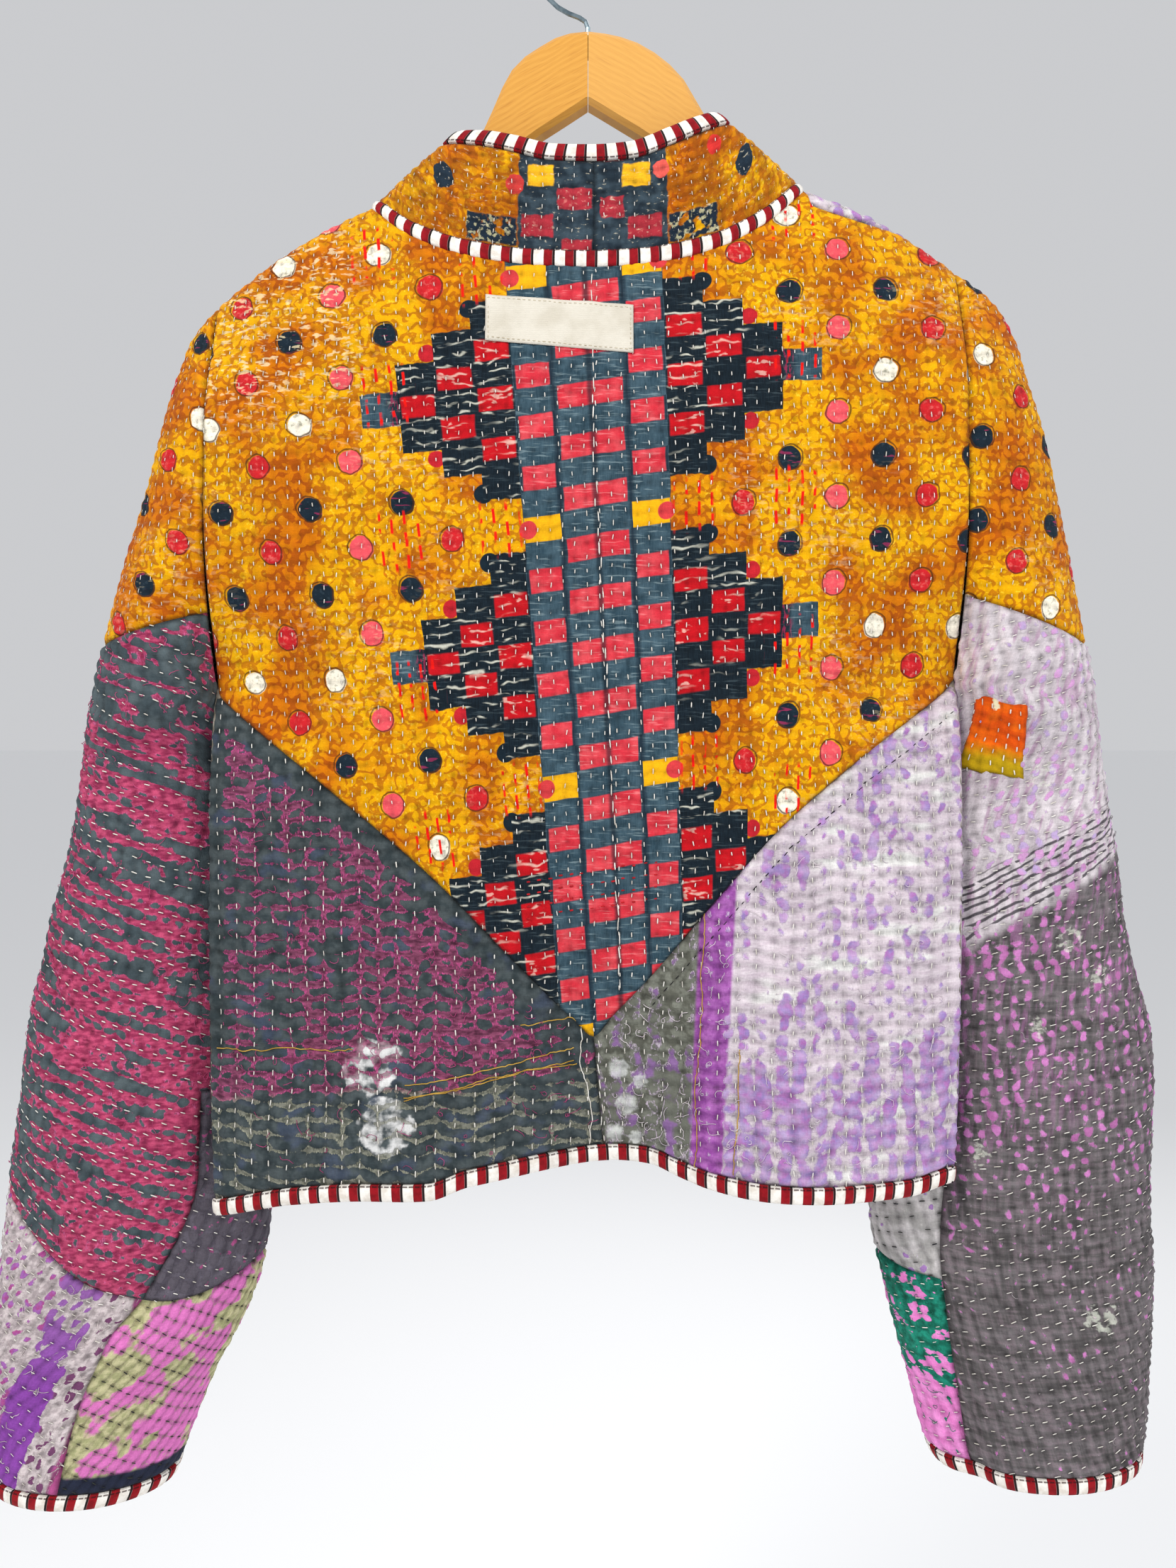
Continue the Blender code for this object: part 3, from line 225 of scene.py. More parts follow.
def crest_drop(x):
    return CREST["drop"](np.abs(x)) - x * math.tan(HANGER_TILT)


def crest_y(x):
    return HANGER_Y + np.abs(x) * math.tan(HANGER_BOW)


def underarm(x):
    return np.where(x < 0, YOKE["drop"](BACK_EDGE[LEFT]), YOKE["drop"](BACK_EDGE[RIGHT]))


def half_width(x, drop):
    return np.where(x < 0, HALF_WIDTH["left"](drop), HALF_WIDTH["right"](drop))


def armhole_half_depth(below_crest, front):
    full = ARMHOLE_HALF_DEPTH - np.where(front, 2, 0)
    return mix(CREST_HALF_DEPTH, full, ease(below_crest / ARMHOLE_OPENS_OVER))


def armhole_opening(x, drop):
    share = np.clip((underarm(x) - drop) / UNDERARM_CLOSES_OVER, 0.0, 1.0)
    return np.sin(share * math.pi / 2)


def body_place(x, drop, front=False):
    """The place on the back or on a front, as an array of millimetres."""
    below = np.maximum(drop - crest_drop(x), 0.0)
    across = np.minimum(np.abs(x) / half_width(x, drop), 1.0)
    arm = armhole_half_depth(below, front) * armhole_opening(x, drop)
    if front:
        y = mix(BODY["side"](drop) + arm, BODY["front"](drop), 1 - across ** 2)
    else:
        y = mix(BODY["side"](drop) - arm, -BODY["back"](drop), (1 - across ** BACK_SQUARE) ** BACK_FULL)
        y = y + BODY["valley"](drop) * np.exp(-((x - VALLEY_X) / VALLEY_HALF_WIDTH) ** 2)
    ridge = crest_y(x) * np.exp(-below / RIDGE_FADES_OVER)
    return np.stack([x, ridge + quarter_round(below / CREST_ROUND) * y, -drop], -1)


def back_top(x):
    neck = BACK_NECK["drop"](x)
    over = np.where(x > 0, RIGHT_SHOULDER["over"](x) * ease((x - NECK_HALF + 2) / 4), 0.0)
    return np.where(np.abs(x) < NECK_HALF, neck, crest_drop(x)) + over


def front_top(x):
    neck = FRONT_NECK["drop"](np.abs(x)) - x * math.tan(HANGER_TILT)
    return np.where(np.abs(x) < NECK_HALF, neck, crest_drop(x))


def share_of_round(side, column, drop):
    seam = LONG_SEAM[side]["share"](drop)
    first = column / SEAM_COLUMN * seam
    second = mix(seam, 0.5, (column - SEAM_COLUMN) / (OUTER_COLUMN - SEAM_COLUMN))
    third = mix(0.5, 1.0, (column - OUTER_COLUMN) / (SLEEVE_COLUMNS - OUTER_COLUMN))
    return np.where(column < SEAM_COLUMN, first, np.where(column < OUTER_COLUMN, second, third))


def trough_depth(side, share, drop):
    """How deep the folds press the sleeve in at a place on its round."""
    depth = np.zeros_like(drop)
    for fold in TROUGHS:
        if fold.side != side:
            continue
        along = (drop - fold.drop0) / (fold.drop1 - fold.drop0)
        away = np.abs(share - mix(fold.share0, fold.share1, np.clip(along, 0, 1)))
        away = np.minimum(away, 1 - away) / fold.width
        before = np.maximum(np.maximum(fold.drop0 - drop, drop - fold.drop1), 0) / TROUGH_END
        depth += fold.depth * np.exp(-away * away) * (1 - ease(before))
    return depth


def sleeve_place(side, share, edge_drop, tilt, dip):
    """A place on a sleeve: share 0 is its inner edge behind, 0.5 outer, 1 inner before."""
    tube = TUBE[side]
    front = share > 0.5
    armhole = abs(BACK_EDGE[side])
    edge = np.full_like(edge_drop, side * armhole)
    below = np.maximum(edge_drop - crest_drop(edge), 0.0)
    outer_drop = edge_drop + tilt
    above = edge_drop < underarm(edge)
    fold = quarter_round(below / CREST_ROUND)
    ridge = crest_y(armhole) * np.exp(-below / RIDGE_FADES_OVER)
    start = np.where(above, np.arcsin(armhole_opening(edge, edge_drop)), 0.0)
    depth = np.where(above, armhole_half_depth(below, front) * fold,
                     np.where(front, tube["front"](edge_drop), tube["back"](edge_drop)))
    inner = np.where(above, armhole, tube["inner"](edge_drop))
    leave = ease((edge_drop - underarm(edge)) / SLEEVE_LEAVES_OVER)
    rest_y = mix(BODY["side"](underarm(edge)) + ridge, tube["y_inner"](edge_drop), leave)
    y_inner = np.where(above, BODY["side"](edge_drop) * fold + ridge, rest_y)
    turn = mix(start, math.pi, np.minimum(share, 1 - share) * 2)
    across = (np.cos(start) - np.cos(turn)) / (1 + np.cos(start))
    x = mix(inner, tube["outer"](outer_drop), across)
    middle = mix(y_inner, tube["y_outer"](outer_drop), across)
    y = middle + np.where(front, depth, -depth) * np.sin(turn)
    drop = edge_drop + tilt * across + dip * 4 * across * (1 - across)
    centre = mix(inner, tube["outer"](outer_drop), 0.5)
    reach = np.maximum(np.hypot(x - centre, y - middle), 0.001)
    pressed = np.where(above, 0.0, trough_depth(side, share, drop)) / reach
    return np.stack([side * (x + (centre - x) * pressed), y + (middle - y) * pressed, -drop], -1)


def sleeve_row(side, row):
    """The drop at the inner edge, the tilt and the dip of each row."""
    edge = np.full_like(row, BACK_EDGE[side])
    high = mix(crest_drop(edge), underarm(edge), np.interp(row, *ROW_SHARES))
    rows, drops, tilts, dips = zip(*SLEEVE_ROWS[side])
    above = row <= ARM_ROWS
    return (np.where(above, high, np.interp(row, rows, drops)),
            np.where(above, ARM_TILT[side]["tilt"](row), np.interp(row, rows, tilts)),
            np.where(above, 0.0, np.interp(row, rows, dips)))


def collar_place(column_x, front, share):
    """A place on the collar over x of the neck's seam; share 1 is where its binding starts."""
    x = np.asarray(column_x, float)
    seam = body_place(x, front_top(x) if front else BACK_NECK["drop"](x), front)
    if front:
        away = np.abs(x)
        slope = np.where(x < 0, COLLAR_SLOPE[LEFT], COLLAR_SLOPE[RIGHT])
        slope = slope * (away - FRONT_EDGE) / (NECK_HALF - FRONT_EDGE)
        edge = np.stack([np.sign(x) * COLLAR_FRONT["top_x"](away), COLLAR_FRONT["y"](away),
                         -COLLAR_FRONT["drop"](away) - slope], -1)
    else:
        edge = np.stack([COLLAR_BACK["top_x"](x), COLLAR_BACK["y"](x), -COLLAR_BACK["drop"](x)], -1)
    reach = np.linalg.norm(edge - seam, axis=-1)
    t = (share * (1 - BINDING_WIDTH / reach))[..., None]
    place = mix(seam, edge, t)
    out = np.stack([place[..., 0], place[..., 1] + 2, np.zeros_like(x)], -1)
    out /= np.linalg.norm(out, axis=-1, keepdims=True)
    return place + out * COLLAR_BELLY * 4 * t * (1 - t)


def soft_noise(u, v, size, seed):
    """Smooth noise from -1 to 1 with lumps of about that size."""
    table = np.random.default_rng(seed).uniform(-1, 1, (64, 64))
    a, b = u / size, v / size
    i, j = np.floor(a).astype(int), np.floor(b).astype(int)
    s, t = ease(a - i), ease(b - j)
    top = mix(table[i % 64, j % 64], table[(i + 1) % 64, j % 64], s)
    low = mix(table[i % 64, (j + 1) % 64], table[(i + 1) % 64, (j + 1) % 64], s)
    return mix(top, low, t)


def finely(marks, step):
    """Places between marks, close to a step apart and a whole number of inner steps."""
    places = [marks[0]]
    for a, b in zip(marks, marks[1:]):
        count = max(1, round(abs(b - a) / step / INNER_STEP)) * INNER_STEP
        places += list(np.linspace(a, b, count + 1)[1:])
    return np.array(places)


def units(vectors):
    return vectors / np.maximum(np.linalg.norm(vectors, axis=-1, keepdims=True), 1e-9)


class Sheet:
    """A grid of places on one cloth: rows run down, columns across, outward by its sign.

    cloth holds each place's flat coordinates, right and down from the back's origin, and
    cut holds which of the coarse cells are part of the piece.
    """

    def __init__(self, place, outward, cloth, cut=None, thick=WALL):
        self.place = place
        self.cloth = cloth
        self.thick = thick
        self.normal = units(np.cross(np.gradient(place, axis=0), np.gradient(place, axis=1))) * outward
        self.outward = outward
        rows, columns = (place.shape[0] - 1) // INNER_STEP, (place.shape[1] - 1) // INNER_STEP
        self.cut = np.ones((rows, columns), bool) if cut is None else cut


def arc_lengths(place, axis):
    steps = np.linalg.norm(np.diff(place, axis=axis), axis=-1)
    start = np.zeros_like(np.take(steps, [0], axis=axis))
    return np.cumsum(np.concatenate([start, steps], axis=axis), axis=axis)


# Fine grids of the panels: millimetres across, then shares or rows down each piece
BODY_STEP = 1.8
YOKE_STEP = 0.0055
LOWER_STEP = 0.0075
FRONT_STEP = 0.145
STRIP_STEP = 0.17
COLLAR_STEP = 0.035
SLEEVE_FINE = 12
SLEEVE_ROW_FINE = 6


def back_upper_sheet():
    x = finely([BACK_EDGE[LEFT], -NECK_HALF, NECK_HALF, 160, BACK_EDGE[RIGHT]], BODY_STEP)
    x, share = np.meshgrid(x, finely([0, 0.1, 1.0], YOKE_STEP))
    drop = mix(back_top(x), YOKE["drop"](x), share)
    return Sheet(body_place(x, drop), 1, np.stack([x, drop], -1))


def back_lower_sheet(side):
    marks = [BACK_EDGE[LEFT], CENTRE_SEAM] if side == LEFT else [CENTRE_SEAM, BACK_EDGE[RIGHT]]
    x, share = np.meshgrid(finely(marks, BODY_STEP), finely([0, 1.0], LOWER_STEP))
    drop = mix(YOKE["drop"](x), HEM["drop"](x) - BINDING_WIDTH, share)
    edge = np.where(x < 0, -BACK_EDGE[LEFT], BACK_EDGE[RIGHT])
    lean = CENTRE_SEAM_LEAN * share * (1 - np.abs(x) / edge)
    here = x / edge * half_width(x, drop) + lean
    return Sheet(body_place(here, drop), 1, np.stack([here, drop], -1))


def front_sheet(side):
    outer = abs(BACK_EDGE[side])
    x = side * finely([FRONT_EDGE, NECK_HALF, outer], BODY_STEP)
    x, row = np.meshgrid(x, finely([0, ARM_ROWS, FRONT_ROWS], FRONT_STEP))
    middle = underarm(x)
    upper = mix(front_top(x), middle, np.interp(row, *ROW_SHARES))
    by_side = ease((np.abs(x) - outer) / HEM_JOINS_OVER + 1)
    hem = mix(FRONT_HEM[side]["drop"](np.abs(x)), HEM["drop"](x), by_side)
    lower = mix(middle, hem - BINDING_WIDTH, (row - ARM_ROWS) / (FRONT_ROWS - ARM_ROWS))
    drop = np.where(row <= ARM_ROWS, upper, lower)
    here = np.where(row <= ARM_ROWS, x, x * half_width(x, drop) / outer)
    return Sheet(body_place(here, drop, True), 1 if side == LEFT else -1, np.stack([here, drop], -1))


def shoulder_strip_sheet():
    """The part of the right front that lies over the crest, down to its seam on the back."""
    x, share = np.meshgrid(finely([NECK_HALF, OVERLAP_END], BODY_STEP), finely([0, 1.0], STRIP_STEP))
    drop = crest_drop(x) + RIGHT_SHOULDER["over"](x) * share
    return Sheet(body_place(x, drop), 1, np.stack([x, drop], -1))


def sleeve_sheet(side, first, last, only=None):
    """Rows of a sleeve from first to last; only(row, column) says which cells are cut."""
    row = np.linspace(first, last, (last - first) * SLEEVE_ROW_FINE + 1)
    column, row = np.meshgrid(np.linspace(0, SLEEVE_COLUMNS, SLEEVE_COLUMNS * SLEEVE_FINE + 1), row)
    drop, tilt, dip = sleeve_row(side, row)
    place = sleeve_place(side, share_of_round(side, column, drop), drop, tilt, dip)
    cloth = np.stack([BACK_EDGE[side] + side * arc_lengths(place, 1), -place[..., 2]], -1)
    cut = None
    if only:
        rows, columns = [(size - 1) // INNER_STEP for size in row.shape]
        centre_row = first + (np.arange(rows) + 0.5) * INNER_STEP / SLEEVE_ROW_FINE
        centre_column = (np.arange(columns) + 0.5) * INNER_STEP / SLEEVE_FINE
        cut = only(centre_row[:, None], centre_column[None, :])
    return Sheet(place, 1 if side == RIGHT else -1, cloth, cut)


def inner_cells(row, column):
    """Cells on the inner side of a sleeve, behind and before."""
    return (row > 0) & ((column < SEAM_COLUMN) | (column > HIDDEN_COLUMN))


def outer_cells(row, column):
    return ~inner_cells(row, column)


def main_cells(row, column):
    """The whole round down to the under piece, and the outer side beside that."""
    return (row < UNDER_STARTS) | outer_cells(row, column)


def collar_sheet(side):
    front = side * finely([FRONT_EDGE, NECK_HALF], BODY_STEP)
    back = finely([side * NECK_HALF, CENTRE_SEAM], BODY_STEP)
    share = finely([0, 1.0], COLLAR_STEP)[:, None]
    place = np.concatenate([collar_place(front[None, :] + 0 * share, True, share + 0 * front),
                            collar_place(back[None, 1:] + 0 * share, False, share + 0 * back[1:])], 1)
    round_length = arc_lengths(place, 1)
    from_centre = round_length[:, -1:] - round_length
    cloth = np.stack([CENTRE_SEAM + side * from_centre, -arc_lengths(place, 0)], -1)
    return Sheet(place, -1 if side == LEFT else 1, cloth)


# Rows of running stitches: the rows' angle, how far apart they are, then the stitches' own
# pitch, length and width, and how far the cloth puffs up between them
Quilt = namedtuple("Quilt", "angle spacing pitch stitch width rise seed")
QUILTS = {
    "back_upper": Quilt(91, 6.3, 6.9, 2.8, 0.58, 0.9, 1),
    "back_lower_left": Quilt(90, 9.6, 7.6, 3.4, 0.7, 1.7, 2),
    "back_lower_right": Quilt(90, 9.4, 7.8, 3.3, 0.62, 1.9, 3),
    "front_left": Quilt(90, 9.0, 7.6, 2.8, 0.55, 1.4, 4),
    "front_right": Quilt(90, 9.0, 7.6, 2.8, 0.55, 1.4, 5),
    "sleeve_left_upper": Quilt(86, 6.5, 7.0, 2.6, 0.52, 0.8, 6),
    "sleeve_left_mid": Quilt(-22, 8.0, 7.0, 3.5, 0.68, 1.6, 7),
    "sleeve_left_under": Quilt(-22, 8.5, 7.6, 3.0, 0.55, 1.3, 8),
    "sleeve_left_fore_outer": Quilt(-20, 8.5, 7.4, 3.0, 0.55, 1.4, 9),
    "sleeve_left_fore_inner": Quilt(-24, 7.4, 6.2, 3.0, 0.55, 1.1, 10),
    "sleeve_right_upper": Quilt(92, 6.5, 7.0, 2.6, 0.52, 0.8, 11),
    "sleeve_right_main": Quilt(17, 7.4, 7.7, 3.8, 0.58, 1.6, 12),
    "sleeve_right_under_top": Quilt(14, 7.6, 7.6, 3.2, 0.55, 1.3, 13),
    "sleeve_right_under_low": Quilt(10, 7.6, 7.6, 3.2, 0.55, 1.2, 14),
    "collar_left": Quilt(90, 8.0, 5.6, 2.4, 0.5, 1.0, 15),
    "collar_right": Quilt(90, 8.0, 5.6, 2.4, 0.5, 1.0, 16),
}
PATCH_QUILT = Quilt(88, 6.0, 6.5, 3.4, 0.7, 0.8, 30)

# Rows are counted from this number, so that none is negative, and shifted by one of these
ROW_OFFSET = 500
ROW_SHIFTS = 2048


def stitch_frame(quilt, cloth):
    """How far along its row, in pitches, and how many rows across each place lies."""
    u, v = cloth[..., 0], cloth[..., 1]
    angle = math.radians(quilt.angle)
    along = u * math.cos(angle) - v * math.sin(angle)
    across = u * math.sin(angle) + v * math.cos(angle)
    across = across + 1.6 * soft_noise(u, v, 46, quilt.seed) + 0.7 * soft_noise(u, v, 17, quilt.seed + 50)
    along = along + 1.2 * soft_noise(u, v, 31, quilt.seed + 90)
    t = across / quilt.spacing + ROW_OFFSET
    k = np.floor(t).astype(int)
    shifts = np.random.default_rng(quilt.seed).uniform(0, 0.55, ROW_SHIFTS)
    start, end = shifts[k % ROW_SHIFTS], shifts[(k + 1) % ROW_SHIFTS]
    return along / quilt.pitch + mix(start, end, t - k), t


def puckers(quilt, cloth, s, t):
    """How far the cloth stands out between the stitches."""
    u, v = cloth[..., 0], cloth[..., 1]
    ridge = 0.5 - 0.5 * np.cos(2 * math.pi * s)
    puff = np.sin(math.pi * (t - np.floor(t)))
    uneven = 1 + 0.45 * soft_noise(u, v, 24, quilt.seed + 7) + 0.3 * soft_noise(u, v, 9, quilt.seed + 8)
    return quilt.rise * uneven * (0.62 * ridge * (0.45 + 0.55 * puff) + 0.38 * puff)


def cell_mask(sheet):
    return np.kron(sheet.cut, np.ones((INNER_STEP, INNER_STEP))).astype(bool)


def corner_cells(sheet):
    """Whether each of the four cells that meet at a place is cut."""
    fine = np.pad(cell_mask(sheet), 1)
    return np.stack([fine[:-1, :-1], fine[1:, :-1], fine[:-1, 1:], fine[1:, 1:]])


def border_distance(sheet):
    """How far each place lies from the piece's edges, in millimetres."""
    corners = corner_cells(sheet)
    edge = sheet.place[corners.any(0) & ~corners.all(0)]
    tree = kdtree.KDTree(len(edge))
    for k, place in enumerate(edge):
        tree.insert(place, k)
    tree.balance()
    away = [tree.find(place)[2] for place in sheet.place.reshape(-1, 3)]
    return np.array(away).reshape(sheet.place.shape[:2])


# Creases of the back and the fronts: soft troughs from one place to another, x and drop
Crease = namedtuple("Crease", "front x0 drop0 x1 drop1 width depth")
CREASES = [
    Crease(False, -150, 250, -60, 300, 14, 1.2), Crease(False, 60, 250, 150, 300, 12, 1.0),
    Crease(False, -20, 300, -8, 560, 16, 1.4), Crease(False, 34, 330, 26, 575, 13, 1.2),
    Crease(False, -168, 470, -140, 650, 13, 2.0), Crease(False, -96, 560, -84, 655, 12, 1.6),
    Crease(False, 150, 455, 128, 655, 14, 2.2), Crease(False, 92, 520, 78, 655, 11, 1.8),
    Crease(False, -30, 590, -40, 650, 9, 1.6), Crease(False, 45, 590, 58, 655, 9, 1.8),
    Crease(False, -185, 300, -150, 420, 12, 1.5), Crease(False, 182, 290, 150, 410, 12, 1.5),
    Crease(True, -120, 190, -60, 420, 15, 2.0), Crease(True, -160, 420, -140, 640, 14, 2.2),
    Crease(True, -60, 430, -48, 640, 11, 1.6), Crease(True, 118, 200, 70, 440, 14, 1.8),
    Crease(True, 150, 440, 160, 640, 13, 2.0), Crease(True, 66, 460, 52, 650, 12, 1.7),
]


def crease_depth(sheet, front):
    x, drop = sheet.place[..., 0], -sheet.place[..., 2]
    depth = np.zeros_like(x)
    for c in CREASES:
        if c.front != front:
            continue
        way = np.array([c.x1 - c.x0, c.drop1 - c.drop0], float)
        length = np.hypot(*way)
        way /= length
        along = ((x - c.x0) * way[0] + (drop - c.drop0) * way[1]) / length
        away = (x - c.x0) * way[1] - (drop - c.drop0) * way[0]
        away = away + 3 * np.sin(along * 5)
        fade = ease((along + 0.25) / 0.35) * ease((1.25 - along) / 0.35)
        depth += c.depth * fade * (np.exp(-(away / c.width) ** 2)
                                   - 0.45 * np.exp(-((np.abs(away) - 1.9 * c.width) / c.width) ** 2))
    return depth


def grid_faces(columns, base, mask, flip):
    """Quads of a grid of places, where the mask is set."""
    r, c = np.nonzero(mask)
    corner = base + r * columns + c
    quads = np.stack([corner, corner + columns, corner + columns + 1, corner + 1], -1)
    return quads[:, ::-1] if flip else quads


def rim_faces(cut, columns, inner_columns, inner_base, flip):
    """One face for each coarse stretch of the edge, from the fine grid to the inner one."""
    padded = np.pad(cut, 1)
    faces = []
    step = INNER_STEP
    for r, c in np.argwhere(cut):
        corners = [(r, c), (r + 1, c), (r + 1, c + 1), (r, c + 1)]
        beside = [padded[r + 1, c], padded[r + 2, c + 1], padded[r + 1, c + 2], padded[r, c + 1]]
        for k in range(4):
            if beside[k]:
                continue
            (r0, c0), (r1, c1) = corners[k], corners[(k + 1) % 4]
            fine = [(r0 * step + (r1 - r0) * j) * columns + c0 * step + (c1 - c0) * j
                    for j in range(step + 1)]
            inner = [inner_base + r1 * inner_columns + c1, inner_base + r0 * inner_columns + c0]
            face = fine[::-1] + inner[::-1]
            faces.append(face[::-1] if flip else face)
    return faces


def new_mesh(name, vertices, faces):
    mesh = bpy.data.meshes.new(name)
    mesh.from_pydata(np.asarray(vertices) * MM, [], faces)
    mesh.shade_smooth()
    return mesh


def add_uv(mesh, name, per_vertex):
    layer = mesh.uv_layers.new(name=name)
    index = np.empty(len(mesh.loops), np.int32)
    mesh.loops.foreach_get("vertex_index", index)
    layer.uv.foreach_set("vector", np.asarray(per_vertex, np.float32)[index].ravel())


def add_object(mesh, *materials):
    for material in materials:
        mesh.materials.append(material)
    thing = bpy.data.objects.new(mesh.name, mesh)
    bpy.context.scene.collection.objects.link(thing)
    return thing


def finish_sheet(sheet, quilt, front=None):
    """Works out the sheet's outer places: its puckers, its creases and its sunk seams."""
    sheet.s, sheet.t = stitch_frame(quilt, sheet.cloth)
    sheet.away = border_distance(sheet)
    share = np.clip(sheet.away / SEAM_DIP_WIDTH, 0, 1)
    height = puckers(quilt, sheet.cloth, sheet.s, sheet.t) * ease(share * 1.2)
    height -= SEAM_DIP * (1 - ease(share))
    if front is not None:
        height -= crease_depth(sheet, front) * ease(share)
    sheet.outer = sheet.place + sheet.normal * height[..., None]


def panel_mesh(name, sheets):
    """The cloth of one panel: its puckered outside, a plain inside and the edges between."""
    vertices, faces, inner_flags = [], [], []
    layers = {"cloth": [], "stitch": [], "edge": []}
    base = 0
    for sheet in sheets:
        rows, columns = sheet.place.shape[:2]
        coarse = np.s_[::INNER_STEP, ::INNER_STEP]
        inner = (sheet.place - sheet.normal * sheet.thick)[coarse]
        inner_base = base + rows * columns
        flip = sheet.outward < 0
        outer_faces = grid_faces(columns, base, cell_mask(sheet), flip)
        inner_faces = grid_faces(inner.shape[1], inner_base, sheet.cut, not flip)
        rim = rim_faces(sheet.cut, columns, inner.shape[1], rows * columns, flip)
        vertices += [sheet.outer.reshape(-1, 3), inner.reshape(-1, 3)]
        faces += outer_faces.tolist() + inner_faces.tolist() + [[base + v for v in face] for face in rim]
        inner_flags += [0] * len(outer_faces) + [1] * len(inner_faces) + [0] * len(rim)
        flat = {"cloth": sheet.cloth * MM, "stitch": np.stack([sheet.s, sheet.t], -1),
                "edge": np.stack([sheet.away, 0 * sheet.away], -1) * MM}
        for key, places in flat.items():
            layers[key] += [places.reshape(-1, 2), places[coarse].reshape(-1, 2)]
        base = inner_base + inner.shape[0] * inner.shape[1]
    vertices = np.concatenate(vertices)
    used = np.zeros(len(vertices), bool)
    for face in faces:
        used[face] = True
    renumber = np.cumsum(used) - 1
    mesh = new_mesh(name, vertices[used], [[int(renumber[v]) for v in face] for face in faces])
    for key, places in layers.items():
        add_uv(mesh, key, np.concatenate(places)[used])
    mesh.polygons.foreach_set("material_index", inner_flags)
    return mesh


def turned(a, b):
    """The area that two flat steps span, with its sign."""
    return a[0] * b[1] - a[1] * b[0]


def lattice(sheet):
    """Where the stitches lie: place, direction along the row and normal of each."""
    cells, p = np.stack([sheet.s, sheet.t], -1), sheet.outer
    four = np.stack([cells[:-1, :-1], cells[1:, :-1], cells[:-1, 1:], cells[1:, 1:]])
    whole = np.ceil(four.min(0))
    near = cell_mask(sheet) & np.all(whole <= four.max(0), axis=-1)
    found = {}
    for r, c in np.argwhere(near):
        down, right = cells[r + 1, c] - cells[r, c], cells[r, c + 1] - cells[r, c]
        size = turned(down, right)
        if abs(size) < 1e-9:
            continue
        gap = whole[r, c] - cells[r, c]
        a, b = turned(gap, right) / size, turned(down, gap) / size
        if not (-0.01 <= a <= 1.01 and -0.01 <= b <= 1.01):
            continue
        step_down, step_right = p[r + 1, c] - p[r, c], p[r, c + 1] - p[r, c]
        way = (step_down * right[1] - step_right * down[1]) / size
        found[tuple(whole[r, c])] = (p[r, c] + step_down * a + step_right * b, way, sheet.normal[r, c])
    return found


# The share of the running stitches that is missing, and how far the others lie above the cloth
SKIPPED = 0.14
STITCH_LIFT = 0.12

# A stitch is a closed form of two three-cornered rings between pointed ends
STITCH_SHOULDER = 0.62
STITCH_ROUND = 0.85
STITCH_FULL = 0.95
STITCH_SINKS = 0.15
STITCH_FACES = [(0, 2, 1), (0, 3, 2), (0, 1, 3), (1, 2, 5, 4), (2, 3, 6, 5), (3, 1, 4, 6),
                (4, 5, 7), (5, 6, 7), (6, 4, 7)]


def lay_stitch(vertices, faces, place, way, normal, lift, length, width, swing=0.0):
    """Adds one stitch along the way, turned a little by its swing, whose ends sink into the cloth."""
    up = units(normal)
    way = units(way - up * way.dot(up))
    way = units(way + np.cross(up, way) * swing)
    side = np.cross(up, way) * width / 2 * STITCH_FULL
    top = up * width / 2 * STITCH_FULL * STITCH_ROUND
    place, half = place + up * lift, way * length / 2
    faces += [[len(vertices) + v for v in face] for face in STITCH_FACES]
    vertices.append(place - half - up * STITCH_SINKS)
    for middle in (place - half * STITCH_SHOULDER, place + half * STITCH_SHOULDER):
        vertices += [middle - side, middle + top, middle + side]
    vertices.append(place + half - up * STITCH_SINKS)


def stitches_mesh(name, sheets, quilt):
    """A panel's running stitches, of which some are worn away."""
    rng = np.random.default_rng(quilt.seed + 200)
    vertices, faces = [], []
    for sheet in sheets:
        for place, way, normal in lattice(sheet).values():
            chance, longer, swing, wide = rng.random(4)
            if chance >= SKIPPED:
                length, width = quilt.stitch * (0.75 + 0.5 * longer), quilt.width * (0.8 + 0.4 * wide)
                lay_stitch(vertices, faces, place, way, normal, STITCH_LIFT, length, width,
                           (swing - 0.5) * 0.3)
    return new_mesh(name, vertices, faces)


class Finder:
    """Finds places on the outside of a sheet from its flat coordinates."""

    def __init__(self, sheet):
        self.sheet = sheet
        used = corner_cells(sheet).any(0)
        self.tree = kdtree.KDTree(int(used.sum()))
        self.columns = sheet.place.shape[1]
        for r, c in np.argwhere(used):
            self.tree.insert((*sheet.cloth[r, c], 0), int(r * self.columns + c))
        self.tree.balance()

    def __call__(self, u, v):
        r, c = divmod(self.tree.find((u, v, 0))[1], self.columns)
        r = min(r, self.sheet.place.shape[0] - 2)
        c = min(c, self.columns - 2)
        flat, outer = self.sheet.cloth, self.sheet.outer
        down, right = flat[r + 1, c] - flat[r, c], flat[r, c + 1] - flat[r, c]
        gap = np.array([u, v]) - flat[r, c]
        a, b = np.clip(np.array([turned(gap, right), turned(down, gap)]) / turned(down, right), -1.5, 1.5)
        place = outer[r, c] + (outer[r + 1, c] - outer[r, c]) * a + (outer[r, c + 1] - outer[r, c]) * b
        return place, self.sheet.normal[r, c]


def along_line(points, step):
    """Places about a step apart on the broken line through the points."""
    points = np.asarray(points, float)
    length = arc_lengths(points, 0)
    at = np.arange(0, length[-1], step)
    return np.stack([np.interp(at, length, column) for column in points.T], -1)


